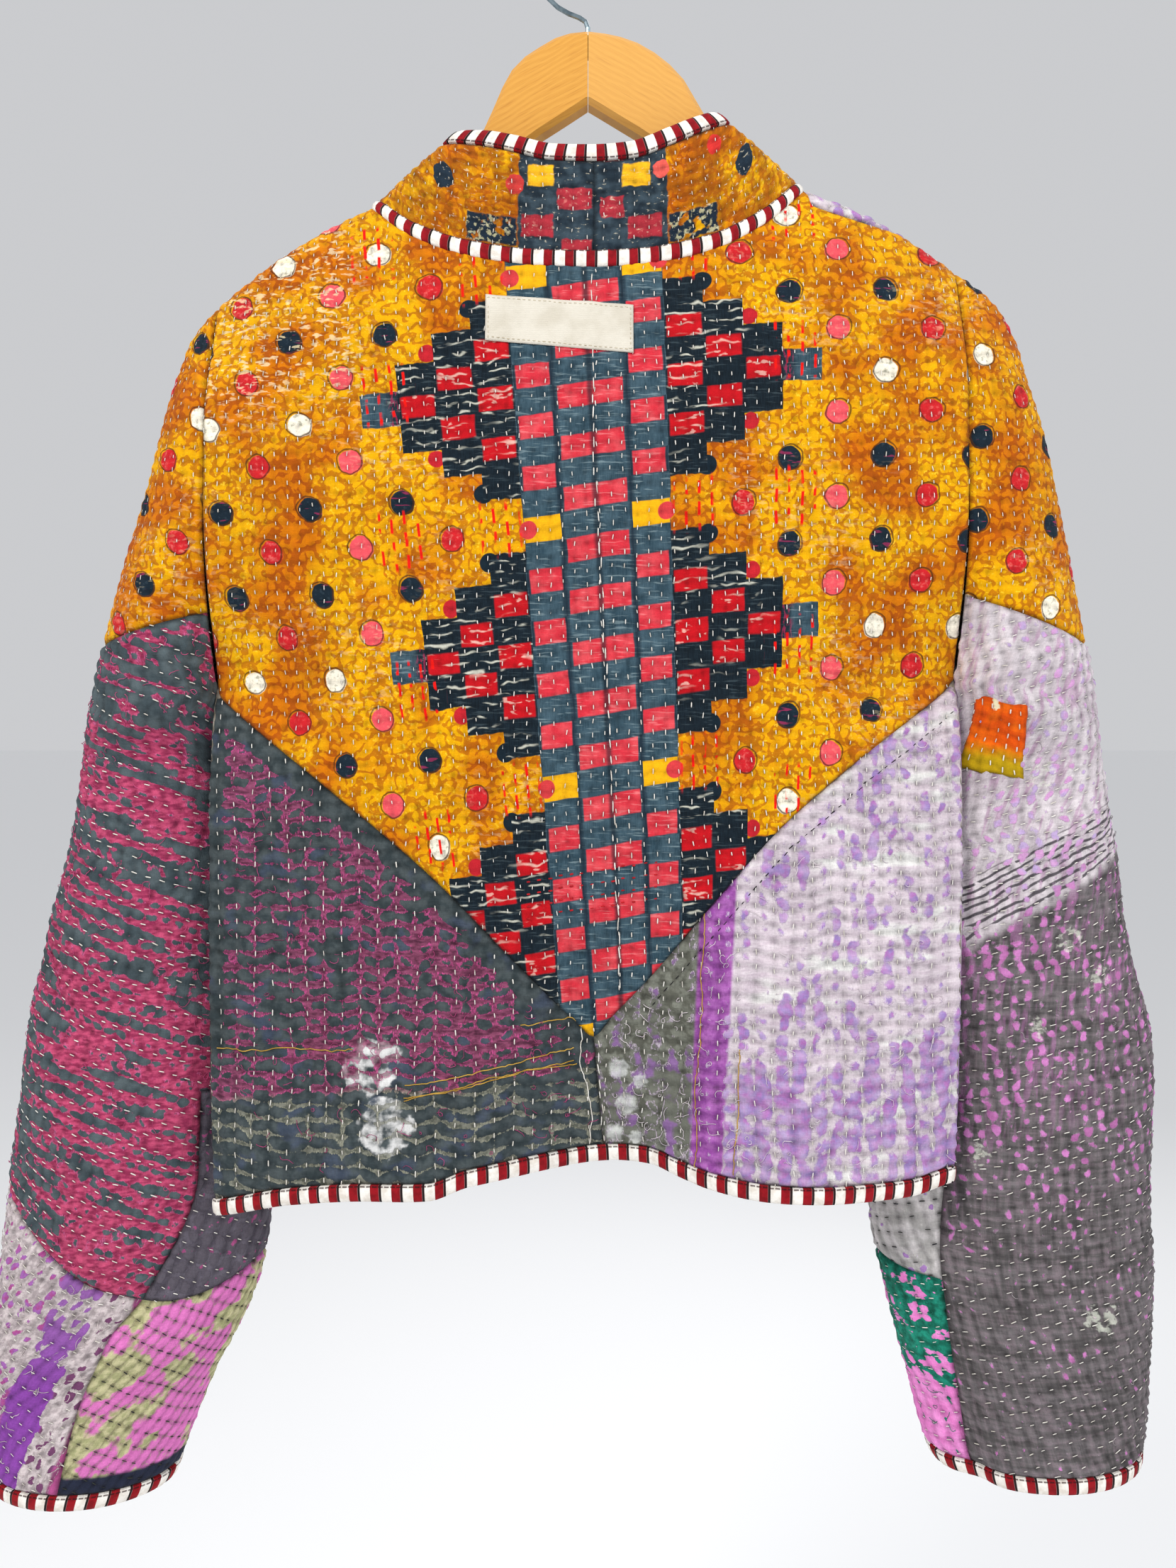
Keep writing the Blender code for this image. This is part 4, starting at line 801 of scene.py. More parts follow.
def sewn_line(name, finder, points, pitch, length, width, seed, waver, lift=0.15):
    """A row of separate stitches along a line of flat coordinates."""
    rng = np.random.default_rng(seed)
    line = along_line(points, pitch)
    vertices, faces = [], []
    for here, after in zip(line, line[1:]):
        u, v = here + rng.uniform(-waver, waver, 2)
        step = units(after - here + rng.uniform(-waver, waver, 2))
        place, normal = finder(u, v)
        way = finder(u + step[0], v + step[1])[0] - finder(u - step[0], v - step[1])[0]
        lay_stitch(vertices, faces, place, way, normal, lift, length * rng.uniform(0.75, 1.2),
                   width * rng.uniform(0.8, 1.2))
    return new_mesh(name, vertices, faces)


def ring_faces(base, count, size, closed=False):
    """Faces between rings of places, with both ends closed unless the last ring is the first."""
    faces = []
    last = base + (count - 1) * size
    for k in range(base, last, size):
        for j in range(size):
            n = (j + 1) % size
            faces.append([k + j, k + n, k + size + n, k + size + j])
    if not closed:
        faces += [list(range(base, base + size))[::-1], list(range(last, last + size))]
    return faces


def thread_mesh(name, paths, radius):
    """Thin threads along the paths, three-sided and closed."""
    vertices, faces = [], []
    for path in paths:
        path = np.asarray(path)
        way = units(np.gradient(path, axis=0))
        side = units(np.cross(way, (0.3, 0.9, 0.2)))
        faces += ring_faces(len(vertices), len(path), 3)
        for place, a, b in zip(path, side, np.cross(way, side)):
            for angle in (0, 2 * math.pi / 3, 4 * math.pi / 3):
                vertices.append(place + (a * math.cos(angle) + b * math.sin(angle)) * radius)
    return new_mesh(name, vertices, faces)


CURL_STEPS = 7
THREAD_STEP = 2.0
THREAD_LIFT = 0.35


def curl(rng, finder, u, v, length, lift):
    """A loose thread end that lies on the cloth in a soft curl."""
    heading, bend = rng.uniform(0, 2 * math.pi), rng.normal(0, 0.55)
    path = []
    for k in range(CURL_STEPS + 1):
        place, normal = finder(u, v)
        path.append(place + units(normal) * lift * (0.35 + math.sin(math.pi * k / CURL_STEPS)))
        heading += bend + rng.normal(0, 0.35)
        u += math.cos(heading) * length / CURL_STEPS
        v += math.sin(heading) * length / CURL_STEPS
    return path


def laid_thread(rng, finder, points, waver):
    """A thread that lies on the cloth along a line and wavers a little."""
    line = along_line(points, THREAD_STEP)
    sway = np.cumsum(rng.normal(0, waver, (len(line), 2)), axis=0)
    sway -= np.linspace(0, 1, len(line))[:, None] * sway[-1]
    found = [finder(u, v) for u, v in line + sway]
    return [place + units(normal) * THREAD_LIFT for place, normal in found]


# Section of a binding folded over an edge: how far out from the panel, how far above it
BINDING_PROFILE = [
    (0.15, 0.1), (0.5, 0.95), (2.5, 1.25), (5.0, 1.15), (7.4, 0.7), (8.7, -0.2), (9.0, -1.2),
    (8.7, -2.2), (7.4, -3.1), (5.0, -3.5), (2.5, -3.6), (0.5, -3.35), (0.15, -2.5),
]
BINDING_STEP = 2.2
BINDING_PUFF = 5.4


def tube_mesh(name, rings, lengths, closed=False):
    """A skin over rings of places, unrolled along the lengths for its woven stripes."""
    count, size = rings.shape[:2]
    mesh = new_mesh(name, rings.reshape(-1, 3), ring_faces(0, count, size, closed))
    uv = np.stack([np.repeat(lengths[:, None], size, 1), arc_lengths(rings, 1)], -1)
    add_uv(mesh, "cloth", uv.reshape(-1, 2) * MM)
    return mesh


def resample(line, step):
    """Rows about a step apart on a line whose first three columns are its places."""
    length = arc_lengths(line[:, :3], 0)
    at = np.linspace(0, length[-1], max(2, round(length[-1] / step) + 1))
    return np.stack([np.interp(at, length, column) for column in line.T], -1), at


def edge_binding(name, edge, back, normal, closed=False, lengthen=0.0, seed=0):
    """The strip folded over an edge: edge is the panel's last row, back a row ahead of it."""
    line, at = resample(np.concatenate([edge, back, normal], -1), BINDING_STEP)
    place, back, normal = line[:, :3], line[:, 3:6], units(line[:, 6:])
    out = units(place - back)
    out = units(out - normal * np.sum(out * normal, -1, keepdims=True))
    if lengthen:
        place[0] += units(place[0] - place[1]) * lengthen
        place[-1] += units(place[-1] - place[-2]) * lengthen
    wider = 1 + 0.01 * soft_noise(at, 0 * at, 23, seed)[:, None]
    puff = 0.22 * np.sin(2 * math.pi * at / BINDING_PUFF + seed) + 0.12 * soft_noise(at, 0 * at, 7, seed + 3)
    rings = []
    for s, h in BINDING_PROFILE:
        swell = puff[:, None] * (1 if 0.4 < s < 8 else 0.2) * np.sign(h + WALL / 2)
        rings.append(place + out * (s * wider) + normal * (h + swell))
    rings = np.stack(rings, 1)
    if closed:
        rings[-1] = rings[0]
    return tube_mesh(name, rings, at, closed)


# Section of the neck's binding: share of the way across it and how far above the seam
NECK_PROFILE = [(0.0, 0.0), (0.05, 1.1), (0.2, 1.8), (0.5, 2.0), (0.8, 1.8), (0.95, 1.1), (1.0, 0.0),
                (0.75, -0.1), (0.25, -0.1)]
NECK_BINDING_X = 112.2
NECK_UP_SHARE = 0.085
NECK_DOWN_SHARE = 0.012


def neck_binding():
    x = np.linspace(-NECK_BINDING_X, NECK_BINDING_X, 125)
    seam_drop = BACK_NECK["drop"](x)
    top = collar_place(x, False, NECK_UP_SHARE + 0 * x)
    seam = body_place(x, seam_drop)
    low = body_place(x, mix(seam_drop, YOKE["drop"](x), NECK_DOWN_SHARE))
    along = units(np.gradient(seam, axis=0))
    normal = units(np.cross(low - top, along))
    knee = 2 * seam - (top + low) / 2
    rings = []
    for w, h in NECK_PROFILE:
        place = (1 - w) ** 2 * top + 2 * w * (1 - w) * knee + w * w * low
        rings.append(place + normal * (h + 0.15 * np.sin(x / 1.3)[:, None] * (h > 1)))
    return tube_mesh("neck_binding_cloth", np.stack(rings, 1), arc_lengths(seam, 0))


# The label and the sewn-on patch, as in the solids: x and drop, or share of the round and drop
LABEL_CORNERS = [(-52, 207.5), (23, 213), (23, 238), (-52, 231.5)]
LABEL_SIZE = 75, 25
PATCH_CORNERS = [(0.085, 409), (0.207, 412), (0.229, 450), (0.108, 448)]
PATCH_SIZE = 33, 40


def corners_grid(corners, columns, rows):
    """Places between four corners, with the shares of the way across and down."""
    a, b, c, d = np.array(corners, float)
    across, down = np.linspace(0, 1, columns * INNER_STEP + 1), np.linspace(0, 1, rows * INNER_STEP + 1)
    s, t = np.meshgrid(across, down)
    return mix(mix(a, b, s[..., None]), mix(d, c, s[..., None]), t[..., None]), s, t


def from_edges(s, t, size):
    return np.minimum(np.minimum(s, 1 - s) * size[0], np.minimum(t, 1 - t) * size[1])


def label_sheet():
    grid, s, t = corners_grid(LABEL_CORNERS, 20, 7)
    u, v = s * LABEL_SIZE[0], t * LABEL_SIZE[1]
    sheet = Sheet(body_place(grid[..., 0], grid[..., 1]), 1, grid, thick=0.5)
    sheet.s, sheet.t, sheet.away = s, t, from_edges(s, t, LABEL_SIZE)
    lift = 1.5 + 0.35 * soft_noise(u, v, 13, 40) - 0.35 * ease(1 - sheet.away / 2)
    sheet.place = sheet.place + sheet.normal * lift[..., None]
    sheet.outer = sheet.place + sheet.normal * (0.25 * soft_noise(u, v, 6, 41))[..., None]
    return sheet


def patch_sheet():
    """The patch follows the sleeve, with ragged edges and puckers of its own."""
    grid, s, t = corners_grid(PATCH_CORNERS, 13, 12)
    u, v = s * PATCH_SIZE[0], t * PATCH_SIZE[1]
    share = grid[..., 0] + 0.0012 * soft_noise(v, u, 4, 43)
    drop = grid[..., 1] + 0.9 * soft_noise(u, v, 4.5, 42) * ease(1 - np.minimum(t, 1 - t) / 0.08)
    _, drops, tilts, _ = zip(*SLEEVE_ROWS[RIGHT][:2])
    place = sleeve_place(RIGHT, share, drop, np.interp(drop, drops, tilts), 0 * drop)
    sheet = Sheet(place, 1, np.stack([u, v], -1), thick=0.6)
    sheet.s, sheet.t = stitch_frame(PATCH_QUILT, sheet.cloth)
    sheet.away = from_edges(s, t, PATCH_SIZE)
    lift = 1.9 + 0.3 * soft_noise(u, v, 11, 44) - 0.7 * ease(1 - sheet.away / 2.5)
    sheet.place = sheet.place + sheet.normal * lift[..., None]
    rise = puckers(PATCH_QUILT, sheet.cloth, sheet.s, sheet.t) * ease(sheet.away / 2.5)
    sheet.outer = sheet.place + sheet.normal * rise[..., None]
    return sheet


def tint(code):
    """Linear colour from a hex code."""
    parts = [int(code[k:k + 2], 16) / 255 for k in (1, 3, 5)]
    return (*[p / 12.92 if p <= 0.04045 else ((p + 0.055) / 1.055) ** 2.4 for p in parts], 1.0)


class Field:
    """A number or a colour at each place of a material. Numbers take sums with others."""

    def __init__(self, painter, socket):
        self.painter = painter
        self.socket = socket

    def math(self, operation, *others):
        return self.painter.math(operation, self, *others)

    def __add__(self, other):
        return self.math("ADD", other)

    def __sub__(self, other):
        return self.math("SUBTRACT", other)

    def __rsub__(self, other):
        return self.painter.math("SUBTRACT", other, self)

    def __mul__(self, other):
        return self.math("MULTIPLY", other)

    __radd__ = __add__
    __rmul__ = __mul__

    def __truediv__(self, other):
        return self.math("DIVIDE", other)

    def abs(self):
        return self.math("ABSOLUTE")

    def round(self):
        return self.math("ROUND")

    def fraction(self):
        return self.math("FRACT")

    def odd(self):
        """1 for odd whole numbers and 0 for even ones."""
        return (self / 2 + 0.1).fraction().step(0.3, 0.4)

    def off_centre(self):
        """0 midway between whole numbers and 1 at each of them."""
        return (self.fraction() - 0.5).abs() * 2

    def from_nearest(self, pitch):
        """How far it lies before or after the nearest multiple of the pitch."""
        return (self / pitch + 0.5).fraction() * pitch - pitch / 2

    def between(self, low, high):
        """low where this is 0 and high where it is 1."""
        return (high - low) * self + low

    def step(self, low, high):
        """0 below low, 1 above high and smooth between."""
        return self.painter.step(self, low, high)

    def within(self, low, high, soft):
        """1 between low and high, 0 outside, over a soft edge."""
        return self.step(low - soft, low + soft) * (1 - self.step(high - soft, high + soft))


class Painter:
    """Builds one material from its cloth's flat coordinates in millimetres."""

    def __init__(self, name):
        self.material = bpy.data.materials.new(name)
        self.material.use_nodes = True
        self.tree = self.material.node_tree
        self.shader = self.tree.nodes["Principled BSDF"]
        self.made = {}

    def node(self, kind, **settings):
        node = self.tree.nodes.new(kind)
        for key, value in settings.items():
            setattr(node, key, value)
        return node

    def put(self, socket, value):
        if isinstance(value, Field):
            self.tree.links.new(value.socket, socket)
        else:
            socket.default_value = tint(value) if isinstance(value, str) else value

    def math(self, operation, *values):
        node = self.node("ShaderNodeMath", operation=operation)
        for socket, value in zip(node.inputs, values):
            self.put(socket, value)
        return Field(self, node.outputs[0])

    def step(self, value, low, high):
        node = self.node("ShaderNodeMapRange", interpolation_type="SMOOTHSTEP")
        for key, given in (("Value", value), ("From Min", low), ("From Max", high)):
            self.put(node.inputs[key], given)
        return Field(self, node.outputs["Result"])

    def split(self, socket, scale):
        """The three numbers of a place, each times the scale."""
        node = self.node("ShaderNodeSeparateXYZ")
        self.tree.links.new(socket, node.inputs[0])
        return [Field(self, output) * scale for output in node.outputs]

    def join(self, *values):
        node = self.node("ShaderNodeCombineXYZ")
        for socket, value in zip(node.inputs, values):
            self.put(socket, value)
        return Field(self, node.outputs[0])

    def flat(self, layer="cloth", scale=1000.0):
        if layer not in self.made:
            source = self.node("ShaderNodeUVMap", uv_map=layer)
            self.made[layer] = self.split(source.outputs[0], scale)[:2]
        return self.made[layer]

    def cells(self):
        """Stitches along the rows and rows across, whole numbers where a stitch lies."""
        return self.flat("stitch", 1.0)

    def solid(self):
        """The place in the piece's own frame, in millimetres."""
        return self.split(self.node("ShaderNodeTexCoord").outputs["Object"], 1000)

    def noise(self, size, seed, detail=2.0, stretch=(1.0, 1.0), place=None):
        """Noise of 0 to 1 with lumps of about that many millimetres."""
        u, v = place or self.flat()
        node = self.node("ShaderNodeTexNoise")
        node.inputs["Scale"].default_value = 1.0
        node.inputs["Detail"].default_value = detail
        vector = self.join(u * (1 / (size * stretch[0])), v * (1 / (size * stretch[1])), seed * 7.31)
        self.put(node.inputs["Vector"], vector)
        return Field(self, node.outputs["Fac"])

    def sway(self, width, size, seed, detail=2.0):
        """Noise about 0, over that width."""
        return (self.noise(size, seed, detail) - 0.5) * width

    def lumps(self, seed, along, across):
        """Noise of 0 to 1 in the quilting's own frame, its lumps sized in stitches and rows."""
        return self.noise(1.0, seed, 1.5, (along, across), self.cells()).step(0.3, 0.7)

    def mix(self, share, low, high, blend="MIX"):
        """The low colour where share is 0 and the high one where it is 1."""
        node = self.node("ShaderNodeMix", data_type="RGBA", blend_type=blend)
        self.put(node.inputs["Factor"], share)
        for socket, value in zip([i for i in node.inputs if i.type == "RGBA"], (low, high)):
            self.put(socket, value)
        return Field(self, [o for o in node.outputs if o.type == "RGBA"][0])

    def patches(self, low, high, size, seed, start=0.35, end=0.65, share=1.0, detail=2.0,
                stretch=(1.0, 1.0)):
        """The low colour with patches of the high one, where noise goes from start to end."""
        return self.mix(self.noise(size, seed, detail, stretch).step(start, end) * share, low, high)

    def dot(self, colour, away, radius, fill):
        """The colour with a dot on it, away being the distance from the dot's middle."""
        return self.mix((radius - away).step(-0.3, 0.3), colour, fill)

    def shade(self, colour, amount):
        """The colour made darker or lighter by a number at each place."""
        return self.mix(1.0, colour, self.join(amount, amount, amount), "MULTIPLY")

    def finish(self, colour, height, relief=0.3, rough=0.9, sheen=0.04):
        self.put(self.shader.inputs["Base Color"], colour)
        self.put(self.shader.inputs["Roughness"], rough)
        self.shader.inputs["Sheen Weight"].default_value = sheen
        self.shader.inputs["Specular IOR Level"].default_value = 0.12
        bump = self.node("ShaderNodeBump")
        bump.inputs["Distance"].default_value = relief * MM
        bump.inputs["Strength"].default_value = 0.8
        self.put(bump.inputs["Height"], height)
        self.tree.links.new(bump.outputs[0], self.shader.inputs["Normal"])
        return self.material


def distance(u, v):
    return (u * u + v * v).math("SQRT")


def spot(p, at_u, at_v, radius, ragged, seed):
    """1 inside a round spot with an uneven edge, 0 outside."""
    u, v = p.flat()
    away = distance(u - at_u, v - at_v) + p.sway(ragged * 2, radius * 0.5, seed, 3)
    return (radius - away).step(-1.2, 1.2)


def weave(p):
    """The bump of a soft plain weave with slubs."""
    return p.noise(0.7, 1, 3) * 0.6 + p.noise(0.9, 2, 2, (5, 0.6)) * 0.5 + p.noise(0.9, 3, 2, (0.6, 5)) * 0.5


def faded_with_painted_shade(p, colour, amount=0.16):
    """Uneven fading, broad and small, with painted shade: darker in the stitches' dimples and along the sunk
    seams at the piece's edges, and lighter on the puffs between the stitches.
    """
    s, t = p.cells()
    dash, row = s.off_centre().step(0.25, 1.0), t.off_centre().step(0.35, 1.0)
    fading = p.sway(1.8, 38, 4) + (p.lumps(5, 0.8, 0.8) - 0.5) * 0.7 + p.sway(2.4, 1.2, 5, 3)
    threads = (p.noise(0.9, 9, 2, (6, 0.5)) + p.noise(0.9, 10, 2, (0.5, 6)) - 1.0) * 1.6
    # Painted shade: the dimples at the stitches and between the rows are darkened and the puffs lifted,
    # standing in for the shade of the puckers.
    dimple_shade = dash * 0.5 + row * 0.28 + dash * row * 0.4
    # Painted shade along the sunk seams, within a few millimetres of the piece's edges.
    seam = (1 - p.flat("edge")[0].step(0.2, 2.6)) * 0.35
    return p.shade(colour, 1.11 + (fading + threads - dimple_shade * 2.3) * amount - seam)


def worn_cloth(p, island, line, fray, reach, frayed=0.5, blur=0.5, weights=(1, 1), soft=0.07, marks=()):
    """Two layers: the upper is left on the puffs as islands and worn off on the lines.

    reach says how far an island reaches, 0.2 for small dots and 1.4 for unworn cloth. The
    weights make islands join along a row or across it. Each mark is a share and its colour.
    """
    s, t = p.cells()
    dash, row = s.off_centre() * weights[0], t.off_centre() * weights[1]
    cell = (dash * dash * dash + row * row * row).math("POWER", 0.333)
    cell = cell + p.sway(blur * 1.8, 4.0, 6) + p.sway(0.3, 1.1, 7)
    worn = cell.step(reach - soft, reach + soft)
    rim = (cell - reach).within(-0.04, 0.16, 0.05) * p.noise(0.8, 8, 3, (0.5, 2.0)).step(0.42, 0.6)
    colour = p.mix(rim * frayed, p.mix(worn, island, line), fray)
    for share, code in marks:
        colour = p.mix(share, colour, code)
    return p.finish(faded_with_painted_shade(p, colour, 0.21), weave(p) + (1 - worn) * 0.8 + rim * 0.5, 0.5)


def inside_cloth():
    """The plain inside of the quilt, faded, with painted shade in the stitches' dimples, and with the back of
    the stitches.
    """
    p = Painter("quilt_inside")
    s, t = p.cells()
    backs = (s + 0.5).off_centre().step(0.45, 0.55) * t.off_centre().step(0.84, 0.9)
    colour = p.mix(backs, p.patches("#8C8478", "#A59C8D", 30, 1), "#DDD7CB")
    return p.finish(faded_with_painted_shade(p, colour), weave(p))


# The print of the yoke: its band runs down the middle and leans a little, and the cloth's
# rows of cells rise to the right
PRINT_TOP = 284.2
PRINT_LEFT = 2.5
PRINT_LEAN = 0.0515
PRINT_NARROWS = 0.0006
ROWS_RISE = 0.155
ROWS_BEND = 0.0004
CELL = 12.95
COLUMN = 19.4
BAND_HALF = 18.4
BAND_EDGE = 38.1
REPEAT = 129.5
DIAMOND_AT = 255.0
BRIGHT_COLUMN = 101.0

# Dots of the print: columns to each side, rows down, and how far odd columns are staggered
DOT_COLUMN = 24.1
DOT_FIRST = 75.0
DOT_PITCH = 43.17
DOT_AT = 194.0
DOT_STAGGER = 22.5
DOT_RADIUS = 6.2

# Small dots by each half-diamond: distance from the band's middle and from the diamond's
DIAMOND_DOTS = [(79.5, 27.0, 4.4, "#B5202A"), (57.0, 47.5, 4.9, "#14222C")]

# Red dashes: lanes across the cloth, pitch along them, and the clusters that they stand in
DASH_LANE = 6.6
DASH_PITCH = 11.0
DASH_HALF_WIDTH = 0.72
DASH_HALF_LENGTH = 3.5
Cluster = namedtuple("Cluster", "middle half fade first pitch share")
DASH_CLUSTERS = [Cluster(BRIGHT_COLUMN, 11, 4, 22, 75, 0.2), Cluster(50, 9, 3, 62, REPEAT, 0.1)]


def print_frame(p):
    """Distance from the band's middle, to the right, and distance down along the rows."""
    u, v = p.flat()
    down = v - PRINT_TOP
    across = (u - PRINT_LEFT - down * PRINT_LEAN) / (1 - down * PRINT_NARROWS)
    rise = across * ROWS_RISE - across * across.abs() * ROWS_BEND
    return across + p.sway(1.6, 14, 11, 1), v + rise + p.sway(1.6, 14, 12, 1)


def scroll_ground(p, across):
    """Yellow with small ochre scrolls, bright in two columns and deeper in broad patches."""
    bright = (20 - (across.abs() - BRIGHT_COLUMN).abs()).step(-8, 8)
    warm = (p.noise(34, 13) - bright * 0.13 + 0.05).step(0.40, 0.68)
    curls = (p.noise(5.2, 14, 0.6) - 0.5).abs() - warm * 0.015
    scrolls = (1 - curls.step(0.062, 0.094)) * p.noise(3.4, 16, 0.5).step(0.36, 0.43)
    colour = p.mix(scrolls * 0.9, p.mix(warm, "#DDA202", "#C26C02"), p.mix(warm, "#B46C06", "#9C4806"))
    colour = p.patches(colour, "#B85A08", 16, 17, 0.56, 0.66, warm * 0.4, 3)
    return p.patches(colour, "#FAD63A", 2.0, 27, 0.60, 0.70, (1 - warm) * 0.5)


def red_dashes(p, colour, across, down):
    """Bright red dashes down the cloth, in clusters by the pink dots and the diamonds."""
    lane = (across / DASH_LANE).round()
    aside = (across - lane * DASH_LANE).abs()
    along = (down / DASH_PITCH + (lane * 0.38).fraction()).fraction()
    ahead = (along - 0.5).abs() * DASH_PITCH
    dash = (DASH_HALF_WIDTH - aside).step(-0.25, 0.25) * (DASH_HALF_LENGTH - ahead).step(-0.5, 0.5)
    clusters = []
    for group in DASH_CLUSTERS:
        lanes = (across.abs() - group.middle).abs().step(group.half + group.fade, group.half)
        share = ((down - group.first) / group.pitch + 0.5).fraction()
        clusters.append(lanes * share.within(0.5 - group.share, 0.5 + group.share, 0.02))
    return p.patches(colour, "#E3160F", 9, 94, 0.40, 0.48, dash * p.math("MAXIMUM", *clusters), 1)


def dots(p, colour, across, down, hide):
    """Staggered columns of outlined dots: reds in even columns, navy and white in odd ones."""
    side = across.abs() - DOT_FIRST
    column = (side / DOT_COLUMN).round()
    odd = column.odd()
    rows = (down - DOT_AT - odd * DOT_STAGGER) / DOT_PITCH
    row = rows.round()
    gap_u, gap_v = side - column * DOT_COLUMN, (rows - row) * DOT_PITCH
    ragged = p.sway(1.6, 5, 18, 1)
    inner_rows = ((rows - 0.2) / 3 + 0.17).fraction().step(0.3, 0.34) * (1 - column.step(0.4, 0.6))
    show = column.step(-0.6, -0.4) * (1 - hide) * (1 - inner_rows)
    tip_rows = ((row - 1) / 3 + 0.05).fraction().step(0.12, 0.08) * column.step(1.4, 1.6)
    far_rows = ((row - 2.5).abs() - 3.5).abs().step(0.3, 0.2)
    navy = p.patches("#16242F", "#33424D", 2.0, 28, 0.55, 0.7, 0.5, 3)
    navy = p.patches(navy, "#8A2A50", 3.0, 95, 0.62, 0.68, 0.8, 1, (3, 0.6))
    white = p.patches("#ECE5D2", "#A9A694", 2.5, 29, 0.5, 0.7, detail=3)
    navy = p.mix(p.math("MAXIMUM", tip_rows, far_rows), navy, white)
    red = p.mix((column - 2).abs().step(0.4, 0.6), "#E0505A", "#BF2026")
    red = p.patches(red, "#EC8078", 2.5, 19, 0.5, 0.75, 0.5)
    inside = (DOT_RADIUS - distance(gap_u, gap_v) - ragged).step(-0.3, 0.3)
    colour = p.mix(inside * show, colour, p.mix(odd, red, navy))
    ring = (distance(gap_u - 0.7, gap_v + 0.5) + ragged).within(DOT_RADIUS - 0.2, DOT_RADIUS + 0.6, 0.3)
    return p.mix(ring * 0.85 * show, colour, "#4A2A12")


def band_dyes(p, across, down):
    """The slate, navy, pink and red of the cells, with their worn rows and threads."""
    wave = ((down + p.sway(7, 9, 21, 1)) / 5.4).fraction().within(0.38, 0.58, 0.08)
    worn = wave * p.noise(4, 22, 2, (2.6, 0.8)).step(0.46, 0.56)
    worn = worn * (p.noise(34, 26, 1) - across * 0.0012).step(0.42, 0.54)
    threads = p.noise(1.0, 25, 2, (0.5, 5)).step(0.3, 0.7)
    light_rows = p.noise(1.6, 20, 2, (6, 0.7)).step(0.56, 0.68)
    slate = p.mix(p.noise(9, 23).step(0.35, 0.65) * 0.6 + threads * 0.4, "#253B47", "#435A66")
    slate = p.mix(light_rows * 0.4, slate, "#8FA3A8")
    navy = p.mix(light_rows * 0.25, p.mix(threads * 0.3, "#101A22", "#22333E"), "#56666C")
    navy = p.mix(worn * 0.85, navy, "#C9C9BA")
    pink = p.mix(light_rows * 0.3, p.patches("#C62E3B", "#DA5A60", 7, 30, 0.4, 0.7, 0.5), "#F0A0A0")
    blotch = p.noise(4.5, 98, 2, (1.6, 0.8)).step(0.62, 0.68) * 0.8
    red = p.mix(p.math("MAXIMUM", worn, blotch) * 0.85, "#B7111B", "#DDB4A6")
    return slate, navy, pink, red


def band_columns(side):
    """The number of a column of cells, 0 in the middle, and how far across it a place is."""
    columns = (side - BAND_HALF) / COLUMN
    return (columns + 1.0).math("FLOOR").math("MAXIMUM", 0.0), columns.fraction()


def cell_rows(rows):
    """The number of a row of cells, how far from its middle a place is, and the cell's extent."""
    row = rows.round()
    away = (rows - row).abs()
    return row, away, (0.47 - away).step(-0.02, 0.05)


def half_diamonds(p, colour, side, down, slate, navy, red):
    """The stepped half-diamonds on both sides of the band."""
    column, local = band_columns(side)
    from_diamond = (down - DIAMOND_AT).from_nearest(REPEAT)
    for at, over, radius, code in DIAMOND_DOTS:
        colour = p.dot(colour, distance(side - at, from_diamond.abs() - over), radius, code)
    steps = from_diamond / CELL
    limit = 3.95 - (column - 2) * 1.1 + p.sway(0.16, 5, 99, 1)
    inside = (limit - steps.abs()).step(-0.03, 0.03) * column.step(1.4, 1.5) * (1 - column.step(5.4, 5.5))
    row, _, cell = cell_rows(steps)
    last = column.step(4.4, 4.5)
    reds = (1 - (row + column).odd()) * cell * local.within(0.06, 0.94, 0.03) * (1 - last)
    reds = reds * (4.45 - column - steps.abs()).step(0, 0.1)
    stained = p.patches(navy, "#8C1C45", 2, 97, 0.5, 0.6, stretch=(0.6, 2))
    tip = p.mix(local.step(0.35, 0.15) * 0.85, slate, stained)
    return p.mix(inside, colour, p.mix(reds, p.mix(last, navy, tip), red))


def centre_band(p, colour, side, down, slate, pink):
    """The slate band with its pink cells, a yellow row now and then, and red dots on its edge."""
    column, local = band_columns(side)
    row, away, cell = cell_rows((down - PRINT_TOP) / CELL)
    centre, even = 1 - column.step(0.4, 0.6), 1 - (row + column).odd()
    wide = centre.between(local.within(0.06, 0.93, 0.02), (16.2 - side).step(-0.3, 0.4))
    blurred = centre.between((0.5 - (local - 0.5).abs()).step(0.0, 0.16), (19.0 - side).step(0.0, 3.4))
    shadow = even * (0.62 - away).step(0.0, 0.14) * (1 - blurred * 0.75)
    band = p.mix(shadow * 0.85, slate, "#1B2733")
    band = p.mix((1.6 - (side - BAND_HALF).abs()).step(-0.8, 1.2) * 0.7, band, "#1C2A36")
    band = p.mix(even * cell * wide, band, pink)
    yellow_rows = 1 - ((row - 3) / 10 + 0.05).fraction().step(0.09, 0.11)
    yellow = yellow_rows * column.within(0.6, 1.4, 0.1) * (0.49 - away).step(-0.02, 0.03)
    band = p.mix(yellow, band, "#E5A90F")
    band = p.mix((1.5 - side).step(-1.1, 1.1) * 0.75, band, "#15212B")
    colour = p.mix((BAND_EDGE - side).step(-0.3, 0.3), colour, band)
    from_yellow = (down - PRINT_TOP - 3 * CELL).from_nearest(REPEAT)
    return p.dot(colour, distance(side - 36, from_yellow), 4.6, "#C93A3E")


